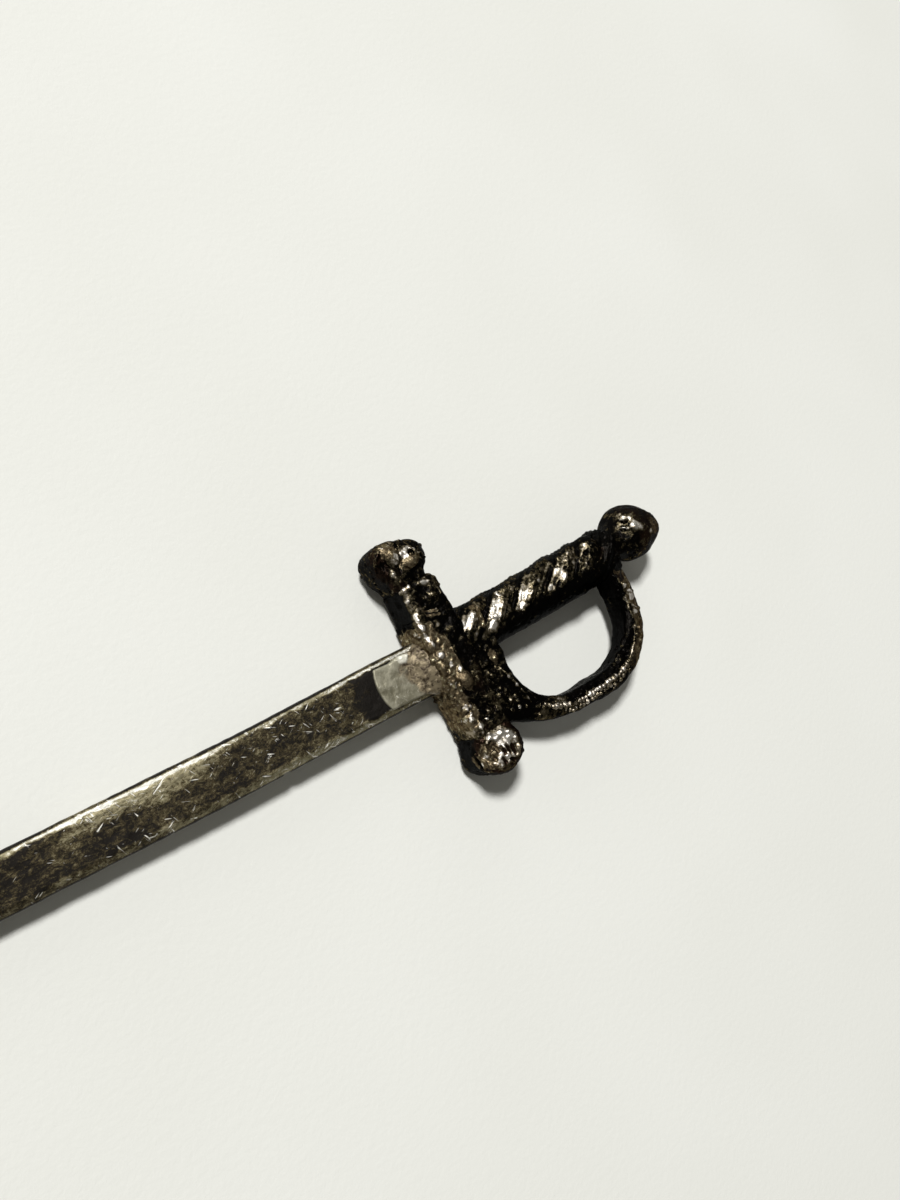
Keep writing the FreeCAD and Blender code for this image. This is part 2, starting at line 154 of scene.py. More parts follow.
# ---------- clay
def smooth_min(first, second, blend):
    """The nearer of two distances, filleted over a width of blend."""
    if blend <= 0.0:
        return np.minimum(first, second)
    share = np.clip(0.5 + 0.5 * (second - first) / blend, 0.0, 1.0)
    return second + (first - second) * share - blend * share * (1.0 - share)


def smooth_max(first, second, blend):
    """The farther of two distances, filleted over a width of blend."""
    return -smooth_min(-first, -second, blend)


def ellipsoid(points, centre, radii):
    """About the distance to an ellipsoid."""
    scaled = (points - np.asarray(centre)) / np.asarray(radii)
    return (np.linalg.norm(scaled, axis=-1) - 1.0) * min(radii)


def inside(points, centre, radii, low, high):
    """0 outside an ellipsoid and 1 inside it, fading between two depths under its surface."""
    return step(-ellipsoid(points, centre, radii), low, high)


def block(points, low, high, radius):
    """The distance to a box with rounded edges."""
    low, high = np.asarray(low), np.asarray(high)
    away = np.abs(points - (low + high) / 2) - (high - low) / 2 + radius
    outside = np.linalg.norm(np.maximum(away, 0.0), axis=-1)
    return outside + np.minimum(away.max(axis=-1), 0.0) - radius


def capsule(points, start, end, radius):
    """The distance to a round-ended rod."""
    start, run = np.asarray(start, float), np.asarray(end, float) - np.asarray(start, float)
    share = np.clip(((points - start) @ run) / max(run @ run, 1e-9), 0.0, 1.0)
    return np.linalg.norm(points - start - share[..., None] * run, axis=-1) - radius


def torus(points, centre, normal, radius, thickness):
    """The distance to a ring."""
    normal = np.asarray(normal, float) / np.linalg.norm(normal)
    away = points - np.asarray(centre)
    height = away @ normal
    flat = np.linalg.norm(away - height[..., None] * normal, axis=-1)
    return np.hypot(flat - radius, height) - thickness


class Clay:
    """A block of space with a signed distance in each cell, below 0 inside."""

    REACH = 0.25            # a dab changes the cells this far from it
    DAB_BLEND, CUT_BLEND = 0.08, 0.06
    SCATTER_BLEND = 0.06
    UNEVEN = (0.7, 1.3)     # how the three radii of scattered lumps differ

    def __init__(self, low, high, cell=CELL):
        axes = [np.arange(a, b + cell, cell) for a, b in zip(low, high)]
        self.low, self.cell = np.asarray(low, float), cell
        self.points = np.stack(np.meshgrid(*axes, indexing="ij"), -1).astype(np.float32)
        self.field = np.full(self.points.shape[:3], FAR, np.float32)

    def join(self, distance, blend=0.0):
        self.field = smooth_min(self.field, distance.astype(np.float32), blend)

    def cut(self, distance, blend=0.0):
        self.field = smooth_max(self.field, -distance.astype(np.float32), blend)

    def dab(self, shape, *values, at, reach, blend, cut=False):
        """Join or cut a small shape, working only in the cells near it."""
        first = np.floor((np.min(at, axis=0) - reach - self.low) / self.cell).astype(int)
        last = np.ceil((np.max(at, axis=0) + reach - self.low) / self.cell).astype(int) + 1
        spot = tuple(slice(max(a, 0), max(b, 0)) for a, b in zip(first, last))
        near = shape(self.points[spot], *values)
        if cut:
            self.field[spot] = smooth_max(self.field[spot], -near, blend)
        else:
            self.field[spot] = smooth_min(self.field[spot], near, blend)

    def bead(self, centre, radii, blend=DAB_BLEND, cut=False):
        radii = np.broadcast_to(radii, 3)
        reach = radii.max() + self.REACH
        self.dab(ellipsoid, centre, radii, at=[centre], reach=reach, blend=blend, cut=cut)

    def pit(self, centre, radii, blend=CUT_BLEND):
        self.bead(centre, radii, blend, cut=True)

    def ridge(self, places, radius, blend=DAB_BLEND, cut=False):
        """A round-backed line from place to place."""
        for start, end in itertools.pairwise(places):
            reach = radius + self.REACH
            self.dab(capsule, start, end, radius, at=[start, end], reach=reach, blend=blend, cut=cut)

    def groove(self, places, radius, blend=CUT_BLEND):
        self.ridge(places, radius, blend, cut=True)

    def ridge_on_top(self, places, radius, blend=DAB_BLEND, sunk=0.0, cut=False):
        """A line over the top surface as it is now, through places given as x and y."""
        for start, end in itertools.pairwise(places):
            self.ridge([self.on_top(*start, sunk), self.on_top(*end, sunk)], radius, blend, cut)

    def groove_on_top(self, places, radius, blend=CUT_BLEND, sunk=0.0):
        self.ridge_on_top(places, radius, blend, sunk, cut=True)

    def ring(self, centre, normal, radius, thickness, blend):
        reach = radius + thickness + 0.2
        self.dab(torus, centre, normal, radius, thickness, at=[centre], reach=reach, blend=blend)

    def skin(self):
        """The points where the surface is, one for each cell that it passes through."""
        return self.points[np.abs(self.field) < self.cell / 2].astype(float)

    def settle(self):
        """Keep the shape as it is now, to tell later what stands proud of it."""
        self.plain = self.field.copy()

    def scatter(self, count, sizes, seed, depth, where=None, cut=False):
        """Small lumps or pits at random places on the surface."""
        draw = np.random.default_rng(seed)
        skin = self.skin()
        if where is not None:
            skin = skin[where(skin)]
        for centre in skin[draw.integers(0, len(skin), count)]:
            radii = draw.uniform(*sizes) * draw.uniform(*self.UNEVEN, 3)
            sunk = centre - depth * radii.min() * self.outward(centre) * (-1 if cut else 1)
            self.bead(sunk, radii, self.SCATTER_BLEND, cut)

    def outward(self, place):
        """The surface's direction at a place."""
        cell = ((place - self.low) / self.cell).astype(int)
        i, j, k = np.clip(cell, 1, np.array(self.field.shape) - 2)
        slope = np.array([self.field[i + 1, j, k] - self.field[i - 1, j, k],
                          self.field[i, j + 1, k] - self.field[i, j - 1, k],
                          self.field[i, j, k + 1] - self.field[i, j, k - 1]], float)
        return slope / max(np.linalg.norm(slope), 1e-9)

    def on_top(self, x, y, sunk=0.0):
        """The surface's highest point at a place, or a little under it."""
        i, j = (int(round((a - b) / self.cell)) for a, b in zip((x, y), self.low))
        column = self.field[i, j]
        solid = np.flatnonzero(column < max(0.0, column.min() + self.cell))
        return np.array([x, y, self.low[2] + self.cell * solid[-1] - sunk])

    def roughen(self, *layers):
        """Add noise to the surface: each layer is a bump size, a depth and a seed."""
        near = np.abs(self.field) < SKIN_DEPTH
        points = self.points[near].astype(float)
        change = sum(depth * rough(points, bump, seed, 2) for bump, depth, seed in layers)
        self.field[near] += change.astype(np.float32)

    def proudness(self, points):
        """How far points stand out of the settled shape."""
        place = np.clip((points - self.low) / self.cell, 0, np.array(self.plain.shape) - 1.001)
        low = place.astype(int)
        return mixed(low, place - low, lambda cells: self.plain[tuple(cells.T)])

    def mesh(self):
        """The surface's points, its four-sided faces, and how proud each point stands."""
        grid = openvdb.FloatGrid(FAR)
        grid.copyFromArray(self.field)
        points, faces = grid.convertToQuads(0.0)
        points = np.asarray(points, float) * self.cell + self.low
        points, faces = largest_shell(points, np.asarray(faces, np.int64))
        return points, faces, self.proudness(points)


def largest_shell(points, faces):
    """Only the biggest connected part of a mesh."""
    label = np.arange(len(points))
    while True:
        lowest = label.copy()
        np.minimum.at(lowest, faces.ravel(), np.repeat(label[faces].min(axis=1), 4))
        lowest = lowest[lowest]
        if (lowest == label).all():
            break
        label = lowest
    biggest = np.bincount(label).argmax()
    keep = label == biggest
    renumber = np.cumsum(keep) - 1
    return points[keep], renumber[faces[keep[faces[:, 0]]]]


# ---------- pieces
def make_piece(name, points, faces, material, slot, nodes, **layers):
    """A closed mesh in the row frame that stands for CAD nodes, with its painted layers."""
    a, b, c, d = (points[faces[:, i]] for i in range(4))
    volume = np.einsum("ij,ij->i", a, np.cross(b, c) + np.cross(c, d)).sum()
    if volume < 0:
        faces = faces[:, ::-1]
    mesh = bpy.data.meshes.new(name)
    sides = [face if face[2] != face[3] else face[:3] for face in faces.tolist()]
    mesh.from_pydata((points * MM).tolist(), [], sides)
    mesh.update()
    mesh.shade_smooth()
    for layer, values in layers.items():
        attribute = mesh.attributes.new(layer, "FLOAT", "POINT")
        attribute.data.foreach_set("value", values.astype(np.float32))
    mesh.materials.append(material)
    piece = bpy.data.objects.new(name, mesh)
    bpy.context.scene.collection.objects.link(piece)
    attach(piece, "root")
    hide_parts(*nodes)


def spots(points, marks):
    """How much each point is inside the nearest of some round marks: x, y, z, radius."""
    best = np.zeros(len(points))
    bent = wavering(points, 0.09, 0.4, (201, 203, 205))
    for x, y, z, radius in marks:
        away = np.linalg.norm(bent - (x, y, z), axis=1) / radius
        best = np.maximum(best, np.clip(1.35 - away, 0.0, 1.0))
    return best


def strokes(points, lines, radius):
    """How much each point is within a distance of the nearest of some lines, looking along z."""
    best = np.zeros(len(points))
    flat = (points + 0.05 * rough(points, 0.3, 207)[:, None]) * (1, 1, 0)
    for start, end in lines:
        away = capsule(flat, (*start, 0.0), (*end, 0.0), 0.0) / radius
        best = np.maximum(best, np.clip(1.5 - away, 0.0, 1.0))
    return best


def cast(name, clay, material, marks, dark=None, **paints):
    """Turn a hilt piece's clay into its finished object: worn and painted with highlights at its marks, less
    so where dark, which holds patina and, on some pieces, painted shade.
    """
    points, faces, proud = clay.mesh()
    layers = {layer: paint(points) for layer, paint in paints.items()}
    # the marks: worn spots and painted highlights; dark takes away patina and, on some pieces, painted shade
    rubbed = spots(points, marks)
    if dark:
        rubbed -= dark(points)
    make_piece(name, hilt_to_row(points), faces, material, "hilt_metal", [name],
               proud=proud, rubbed=rubbed, **layers)


# ---------- materials
class Finish:
    """A material of one Principled shader, and short calls for the nodes before it."""

    def __init__(self, name, **shader):
        self.material = bpy.data.materials.new(name)
        self.material.use_nodes = True
        self.tree = self.material.node_tree
        self.shader = self.tree.nodes["Principled BSDF"]
        for socket, value in shader.items():
            self.set(self.shader, socket.replace("_", " "), value)
        where = self.add("TexCoord").outputs["Object"]
        self.place = self.mapping(where, Scale=(1 / MM,) * 3)

    def set(self, node, socket, value):
        if isinstance(value, bpy.types.NodeSocket):
            self.tree.links.new(value, node.inputs[socket])
        else:
            node.inputs[socket].default_value = value

    def add(self, kind, inputs=None, **settings):
        node = self.tree.nodes.new("ShaderNode" + kind)
        for setting, value in settings.items():
            setattr(node, setting, value)
        for socket, value in (inputs or {}).items():
            self.set(node, socket, value)
        return node

    def mapping(self, place, **change):
        return self.add("Mapping", {"Vector": place, **change}).outputs[0]

    def layer(self, name):
        return self.add("Attribute", attribute_name=name).outputs["Fac"]

    def noise(self, scale, detail=3.0, roughness=0.6, distortion=0.0, place=None):
        inputs = {"Vector": place or self.place, "Scale": scale, "Detail": detail,
                  "Roughness": roughness, "Distortion": distortion}
        return self.add("TexNoise", inputs).outputs["Fac"]

    def math(self, operation, first, second=0.0):
        return self.add("Math", {0: first, 1: second}, operation=operation).outputs[0]

    def total(self, *terms):
        """The sum of some (value, weight) pairs."""
        result = 0.0
        for value, weight in terms:
            part = self.math("MULTIPLY", value, weight)
            result = self.math("ADD", part, result)
        return result

    def between(self, value, low, high, start=0.0, end=1.0):
        inputs = {"Value": value, "From Min": low, "From Max": high, "To Min": start, "To Max": end}
        return self.add("MapRange", inputs, interpolation_type="SMOOTHSTEP").outputs["Result"]

    def blend(self, share, first, second):
        mix = self.add("Mix", data_type="RGBA")
        self.set(mix, 0, share)
        for socket, value in ((6, first), (7, second)):
            self.set(mix, socket, value if isinstance(value, bpy.types.NodeSocket) else (*value, 1.0))
        return mix.outputs[2]

    def finish(self, colour, metal, roughness, *bumps):
        """Link the shader; each bump is a height and a depth in millimetres."""
        self.set(self.shader, "Base Color", colour)
        self.set(self.shader, "Metallic", metal)
        self.set(self.shader, "Roughness", roughness)
        normal = None
        for height, depth in bumps:
            bump = self.add("Bump", {"Height": height, "Distance": depth * MM})
            if normal:
                self.set(bump, "Normal", normal)
            normal = bump.outputs[0]
        if normal:
            self.set(self.shader, "Normal", normal)
        return self.material


# the hilt: black and brown ground, then three steps up to bare metal, which at the marks are also painted
# highlights
BLACK = (0.004, 0.0036, 0.0032)
UMBER = (0.030, 0.017, 0.011)
OLIVE = (0.095, 0.078, 0.045)
BEIGE = (0.36, 0.31, 0.235)
SILVER = (0.93, 0.88, 0.80)
EDGE_TINT = (0.12, 0.11, 0.10, 1.0)
# the remains of gilding and solder smeared on the hilt
SMEAR_BROWN = (0.062, 0.044, 0.026)
SMEAR_TAN = (0.185, 0.145, 0.088)
SMEAR_CREAM = (0.60, 0.55, 0.36)
# the blade; its brightest colour also paints the highlight along the upper bevel
TARNISH = (0.012, 0.010, 0.008)
BROWN = (0.080, 0.064, 0.034)
GREY_OLIVE = (0.32, 0.285, 0.175)
BRIGHT = (0.97, 0.95, 0.87)
# the solder; its shine colour is also a painted highlight on the bead
SOLDER_DARK, SOLDER_GREY = (0.185, 0.172, 0.115), (0.37, 0.35, 0.265)
SOLDER_STREAK, SOLDER_SHINE = (0.60, 0.58, 0.48), (0.90, 0.88, 0.76)
SOLDER_STAIN, SOLDER_TAN = (0.050, 0.034, 0.020), (0.27, 0.22, 0.14)
# the paper
PAPER_WARM, PAPER_COOL = (0.775, 0.782, 0.742), (0.800, 0.808, 0.772)


def aged_metal(name, rubbing=0.0):
    """Blackened cast silver: bright where it stands proud, where it is worn and where highlights are painted
    on; darker where shade is painted on and where patina lies; brown in patches.
    """
    f = Finish(name, Specular_Tint=EDGE_TINT)
    proud = f.between(f.layer("proud"), -0.10, 0.08)
    edge = f.between(f.add("NewGeometry").outputs["Pointiness"], 0.46, 0.60)
    speck = f.noise(2.8, 5.0, 0.66, 0.5)
    fine = f.noise(8.0, 4.0, 0.65, 0.3)
    patch = f.noise(0.9, 3.0, 0.6, 0.6)
    wear = f.total((f.layer("rubbed"), 0.75), (proud, 0.26), (edge, 0.24),
                   (speck, 1.5), (patch, 0.7), (fine, 0.6))
    wear = f.math("ADD", wear, rubbing)
    brown = f.between(f.total((patch, 0.8), (fine, 0.4), (f.layer("rust"), 0.3)), 0.66, 0.96)
    colour = f.blend(brown, BLACK, UMBER)
    colour = f.blend(f.between(wear, 1.48, 1.68), colour, OLIVE)
    colour = f.blend(f.between(wear, 1.68, 1.94), colour, BEIGE)
    smear = f.between(f.total((f.layer("gilt"), 1.0), (speck, 1.0), (fine, 0.4)), 0.98, 1.22)
    cloud = f.noise(3.6, 5.0, 0.72, 0.5)
    dull = f.blend(f.between(cloud, 0.36, 0.54), SMEAR_BROWN, SMEAR_TAN)
    dull = f.blend(f.between(cloud, 0.56, 0.67), dull, SMEAR_CREAM)
    colour = f.blend(smear, colour, dull)
    colour = f.blend(f.between(wear, 1.92, 2.16), colour, SILVER)
    metal = f.between(wear, 1.5, 1.8, 0.88, 1.0)
    roughness = f.total((f.between(wear, 1.5, 1.9), 0.12), (smear, 0.08), (fine, 0.14))
    return f.finish(colour, metal, f.math("ADD", roughness, 0.17), (speck, 0.05), (fine, 0.025))


def scratches(f, tone):
    """Short straight lines in three directions, thinly spread, most of them where it is bright."""
    most = 0.0
    for turn, scale in ((0.35, 1.0), (-0.6, 1.3), (1.1, 1.2)):
        long = f.mapping(f.mapping(f.place, Rotation=(0.0, 0.0, turn)), Scale=(0.95, 8.0, 1.0))
        line = f.between(f.noise(scale, 1.0, 0.5, 0.25, long), 0.66, 0.73)
        spread = f.total((f.noise(scale * 1.3, 2.0, 0.5, 0.4), 1.0), (tone, 0.45))
        some = f.math("MULTIPLY", line, f.between(spread, 0.565, 0.645))
        most = f.math("MAXIMUM", some, most)
    return most


def blade_metal():
    """Worn silver, mottled with black and brown tarnish and crossed by scratches, with a painted highlight
    along the upper bevel and painted dark lines at the edges.
    """
    f = Finish("blade_metal")
    tone = f.layer("tone")
    mottle = f.noise(3.8, 6.0, 0.8, 0.5, f.mapping(f.place, Scale=(0.6, 1.0, 1.0)))
    fine = f.noise(9.0, 4.0, 0.7, 0.6)
    broad = f.noise(0.45, 3.0, 0.55)
    light = f.total((tone, 0.8), (mottle, 1.25), (fine, 0.55), (broad, 0.35))
    scratch = scratches(f, tone)
    colour = f.blend(f.between(light, 0.98, 1.18), TARNISH, BROWN)
    colour = f.blend(f.between(light, 1.14, 1.38), colour, GREY_OLIVE)
    colour = f.blend(f.math("MAXIMUM", f.between(light, 1.40, 1.70), scratch), colour, BRIGHT)
    metal = f.between(light, 0.9, 1.3, 0.8, 1.0)
    roughness = f.between(light, 1.0, 1.9, 0.46, 0.33)
    return f.finish(colour, metal, roughness, (mottle, 0.05), (scratch, -0.02), (fine, 0.03))


def solder_metal():
    """Dull grey solder with faint brighter streaks, stained brown towards the guard."""
    f = Finish("solder")
    cloud = f.noise(1.4, 4.0, 0.6, 0.4)
    streak = f.between(f.noise(5.0, 3.0, 0.6, 1.5), 0.60, 0.72)
    colour = f.blend(f.between(cloud, 0.32, 0.68), SOLDER_DARK, SOLDER_GREY)
    colour = f.blend(streak, colour, SOLDER_STREAK)
    brown = f.blend(f.between(f.noise(3.6, 5.0, 0.72, 0.5), 0.38, 0.58), SOLDER_STAIN, SOLDER_TAN)
    colour = f.blend(f.between(f.layer("gilt"), 0.1, 0.9), colour, brown)
    # shine: a painted highlight at the marks, and the streaks and clouds brightened
    shine = f.total((f.layer("rubbed"), 1.0), (streak, 0.25), (cloud, 0.5))
    colour = f.blend(f.between(shine, 0.5, 1.1), colour, SOLDER_SHINE)
    roughness = f.between(cloud, 0.3, 0.7, 0.42, 0.58)
    return f.finish(colour, 0.55, roughness, (cloud, 0.05), (f.noise(9.0, 3.0), 0.02))


def paper():
    """Smooth pale paper, a little warmer in places."""
    f = Finish("paper", Specular_IOR_Level=0.2)
    colour = f.blend(f.between(f.noise(0.035, 2.0), 0.3, 0.7), PAPER_WARM, PAPER_COOL)
    return f.finish(colour, 0.0, 0.7, (f.noise(2.5, 4.0, 0.7), 0.02))


# ---------- crossguard
# lumps and bright marks are x, y, z and radius in the hilt frame; lines are x and y, or x, y and z; the marks
# are worn spots that are also painted highlights
GUARD_LUMPS = ((-1.02, -3.66, 1.36, 0.17), (-0.72, -3.71, 1.4, 0.16), (-0.9, -2.06, 1.36, 0.2),
               (-0.15, -1.68, 1.4, 0.19), (-0.67, -5.36, 1.2, 0.18), (-0.1, -4.76, 1.4, 0.13),
               (0.19, -4.46, 1.4, 0.12), (-0.77, -0.5, 1.38, 0.2), (-0.93, -1.13, 1.34, 0.22))
GUARD_VEIN = ((-0.75, -2.1, 1.42), (-1.0, -2.35, 1.38), (-1.22, -2.9, 1.05), (-1.25, -3.4, 0.7))
GUARD_EDGE = ((-0.98, 3.2), (-1.08, 2.6), (-1.1, 1.9), (-1.07, 1.2), (-1.05, 0.6), (-0.9, 0.0), (-0.75, -0.6))
GUARD_STREAKS = (((-0.5, 2.0), (0.35, 1.72)), ((-0.45, 1.72), (0.3, 1.5)))
GUARD_MARKS = (
    (-0.68, 3.57, 1.5, 0.16), (-0.95, 3.56, 1.4, 0.1), (0.25, 3.45, 1.5, 0.2), (0.5, 3.4, 1.4, 0.14),
    (-1.05, 2.9, 1.4, 0.12), (-1.1, 2.43, 1.4, 0.1), (-1.08, 2.02, 1.4, 0.17), (-1.1, 1.7, 1.35, 0.12),
    (-1.06, 1.26, 1.4, 0.15), (-1.05, 0.67, 1.4, 0.12), (-0.93, 0.23, 1.4, 0.15), (-0.77, -0.5, 1.4, 0.24),
    (0.03, 2.64, 1.4, 0.1), (0.26, 1.86, 1.4, 0.1), (-0.11, 1.03, 1.4, 0.15), (0.86, 1.02, 1.3, 0.11),
    (0.77, -0.33, 1.35, 0.17), (-0.9, -2.06, 1.45, 0.18), (-0.15, -1.68, 1.5, 0.2), (0.98, -1.98, 1.25, 0.14),
    (-1.02, -3.66, 1.4, 0.17), (-0.72, -3.71, 1.45, 0.15), (-0.8, -4.1, 1.4, 0.14), (-0.92, -4.4, 1.35, 0.14),
    (-0.6, -4.92, 1.4, 0.2), (-0.1, -4.76, 1.4, 0.12), (-0.67, -5.36, 1.3, 0.15), (-1.15, -1.82, -0.1, 0.18),
    (-0.5, -1.2, 1.45, 0.16), (-0.3, 0.4, 1.4, 0.1))


def crossguard_clay():
    low, high = hilt_box("crossguard")
    front, top = low[0], high[2]
    clay = Clay(low - 0.45, high + 0.45)
    clay.join(block(clay.points, low, high + (0.16, 0.0, 0.0), 0.36))
    clay.join(ellipsoid(clay.points, (high[0] - 0.1, 0.1, 0.0), (0.75, 2.0, 1.3)), 0.6)
    clay.settle()
    # collar where the upper arm meets its finial
    clay.ridge([(-0.95, 3.5, top - 0.12), (-0.62, 3.62, top - 0.08)], 0.16)
    clay.bead((-0.66, 3.56, top - 0.02), 0.17)
    clay.ridge([(0.05, 3.5, top - 0.06), (0.55, 3.38, top - 0.1)], 0.17)
    clay.bead((0.75, 3.1, top - 0.2), (0.34, 0.4, 0.3), 0.15)
    # chain of beads along the front top edge
    draw = np.random.default_rng(11)
    for y in np.arange(3.0, -0.9, -0.27):
        place = (front + 0.11 + draw.uniform(-0.05, 0.07), y + draw.uniform(-0.11, 0.11), top - 0.12)
        clay.bead(place, draw.uniform(0.04, 0.13) * np.array([0.8, draw.uniform(1.1, 2.3), 0.9]), 0.07)
    # lumps, short ridges, a dome and a winding vein on the lower arm
    for *place, radius in GUARD_LUMPS:
        clay.bead(place, radius, 0.06)
    clay.ridge([(-0.78, -4.0, 1.36), (-0.92, -4.4, 1.3)], 0.12)
    clay.ridge([(-0.58, -4.75, 1.34), (-0.62, -5.1, 1.3)], 0.15)
    clay.bead((-0.18, -2.35, top - 0.05), (0.48, 0.6, 0.32), 0.12)
    clay.ridge(GUARD_VEIN, 0.075, 0.05)
    # solder smeared over the front wall
    clay.bead((-1.16, -0.6, -0.1), (0.30, 2.1, 1.3), 0.4)
    clay.scatter(90, (0.12, 0.3), 23, 0.8, lambda p: (p[:, 0] < -1.05) & (p[:, 1] < 1.6) & (p[:, 1] > -4.5))
    clay.scatter(150, (0.07, 0.2), 21, 0.62)
    clay.scatter(90, (0.06, 0.17), 22, 0.3, cut=True)
    clay.roughen((0.9, 0.05, 1), (0.32, 0.03, 3))
    return clay


def guard_gilt(points):
    """The front wall's lower half, a smear round the solder, the dome and two streaks."""
    x, y, z = points.T
    wander = wavering(points, 0.25, 0.7, (5, 6, 7), octaves=1)
    front_wall = step(-wander[:, 0], 0.2, 0.8)
    height = step(wander[:, 1], -5.4, -4.2) * step(-wander[:, 1], -1.7, -1.2)
    smear = inside(wander, (-0.72, -0.8, 1.4), (0.72, 1.6, 0.9), -0.2, 0.15)
    dome = inside(points, (-0.15, -2.35, 1.4), (0.42, 0.6, 0.5), -0.1, 0.1)
    streaks = 0.8 * strokes(points, GUARD_STREAKS, 0.06) * step(z, 0.8, 1.0)
    mottled = 0.2 * step(x, -0.5, 0.0) * step(-y, 2.6, 3.4)
    return np.max([0.85 * front_wall * height, smear, dome, streaks, mottled], axis=0)


def guard_rust(points):
    return 0.4 * step(-points[:, 1], -2.0, 3.5)


def guard_dark(points):
    """Darker on the upper arm's wall and on the back, which is painted shade, in a band over the lower arm
    and on the top face, and lighter along the front top edge, which is worn and painted as a highlight.
    """
    x, y, z = points.T
    bent = x + 0.3 * rough(points, 0.8, 29)
    # painted shade on the upper arm's wall, which faces the camera
    upper_wall = step(-x, 0.9, 1.1) * step(y, 1.2, 1.8) * step(-z, -1.25, -1.0)
    # painted shade on the back, which faces the paper
    back = step(-z, -0.9, -0.4) * step(x, -0.9, -0.6)
    band = step(bent, 0.2, 0.5) * step(-y, -2.6, -1.8) * step(y, -2.9, -2.2)
    face = step(bent, -0.8, -0.5)
    upper_face = step(bent, -0.85, -0.65) * step(y, -0.6, 0.2)
    # painted highlight, on wear, along the front top edge
    edge = strokes(points, itertools.pairwise(GUARD_EDGE), 0.08) * step(z, 0.9, 1.1)
    return 0.5 * np.max([upper_wall, back, 0.5 * band, 0.28 * face, 0.5 * upper_face], axis=0) - 0.42 * edge


def build_crossguard(material):
    cast("crossguard", crossguard_clay(), material, GUARD_MARKS, guard_dark, gilt=guard_gilt, rust=guard_rust)


# ---------- finials
UPPER_CRACK = ((0.1, 6.35), (0.02, 6.1), (-0.2, 5.75), (-0.3, 5.3), (-0.45, 4.9), (-0.62, 4.5))
UPPER_OVAL = ((-1.42, 5.25), (-1.3, 5.75))
UPPER_MARKS = (
    (-0.6, 5.4, 1.5, 0.22), (-0.82, 5.26, 1.5, 0.21), (-0.7, 5.08, 1.5, 0.17), (-0.48, 5.2, 1.5, 0.13),
    (-1.0, 5.42, 1.4, 0.11), (-0.95, 5.02, 1.4, 0.12), (-1.1, 4.8, 1.4, 0.1), (-1.12, 4.58, 1.4, 0.16),
    (-0.02, 5.34, 1.5, 0.26), (0.2, 5.48, 1.4, 0.16), (0.45, 5.56, 1.4, 0.12), (0.85, 5.1, 1.3, 0.15),
    (-0.45, 6.2, 1.3, 0.12), (-0.9, 6.1, 1.4, 0.12), (0.8, 5.4, 1.4, 0.12), (0.1, 5.15, 1.5, 0.14))


def upper_finial_clay():
    low, high = hilt_box("quillon_finial_upper")
    neck, middle = low[1], (low[0] + high[0]) / 2
    clay = Clay(low - 0.6, high + 0.45)
    left = (low[0] - 0.12, neck + 0.35, -1.5), (middle + 0.5, high[1] + 0.06, 1.5)
    right = (middle - 0.3, neck + 0.36, -1.4), (high[0] + 0.02, high[1] - 0.28, 1.4)
    clay.join(block(clay.points, (-1.2, neck - 0.4, -1.3), (1.0, neck + 1.2, 1.3), 0.5))
    clay.join(block(clay.points, *left, 0.88), 0.5)
    clay.join(block(clay.points, *right, 0.85), 0.55)
    clay.settle()
    clay.groove_on_top(UPPER_CRACK, 0.085, 0.08, sunk=-0.02)
    # dished middle and rim arc of the left lobe, and lumps beside the crack
    clay.pit(clay.on_top(-1.3, 5.45), (0.3, 0.55, 0.16), 0.12)
    clay.ridge_on_top([(-1.7, 5.1), (-1.55, 5.7), (-1.0, 6.15)], 0.1)
    clay.bead(clay.on_top(-0.72, 5.3, 0.1), (0.42, 0.45, 0.24), 0.1)
    clay.bead(clay.on_top(-1.1, 4.6, 0.05), (0.16, 0.14, 0.15))
    # boss, band and rings of the right lobe
    clay.bead(clay.on_top(0.2, 4.8, 0.18), (0.62, 0.42, 0.36), 0.06)
    clay.groove_on_top([(-0.3, 4.55), (0.35, 4.25)], 0.1)
    clay.ridge_on_top([(-0.12, 5.36), (0.3, 5.4)], 0.12, 0.06)
    for x, y, radius in ((0.48, 5.2, 0.3), (0.98, 4.85, 0.18)):
        place = clay.on_top(x, y)
        facing = clay.outward(place)
        clay.pit(place, radius * 0.8, 0.04)
        clay.ring(place, facing, radius, 0.075, 0.03)
        clay.bead(place - 0.1 * facing, radius * 0.35, 0.02)
    # turned lines on the neck
    for y in (neck + 0.12, neck + 0.36, neck + 0.6):
        clay.groove([(-1.2, y, 0.75), (-0.45, y + 0.05, 1.3)], 0.07, 0.04)
    clay.scatter(80, (0.05, 0.15), 31, 0.6)
    clay.scatter(60, (0.05, 0.14), 32, 0.2, cut=True)
    clay.roughen((0.8, 0.045, 8), (0.25, 0.022, 9))
    return clay


def upper_gilt(points):
    """The right lobe's boss, and streaks over the left lobe."""
    boss = inside(points, (0.1, 4.85, 1.4), (0.62, 0.42, 0.5), -0.12, 0.05)
    streaked = wavering(points, 0.2, 0.5, (35, 36, 37))
    lobe = inside(streaked, (-0.75, 5.75, 1.4), (0.6, 0.6, 0.6), -0.2, 0.15)
    return np.maximum(0.62 * boss, 0.5 * lobe)


def upper_rust(points):
    x, _, z = points.T
    return step(-x, 0.2, 0.9) * step(z, -0.2, 0.7) - 0.3


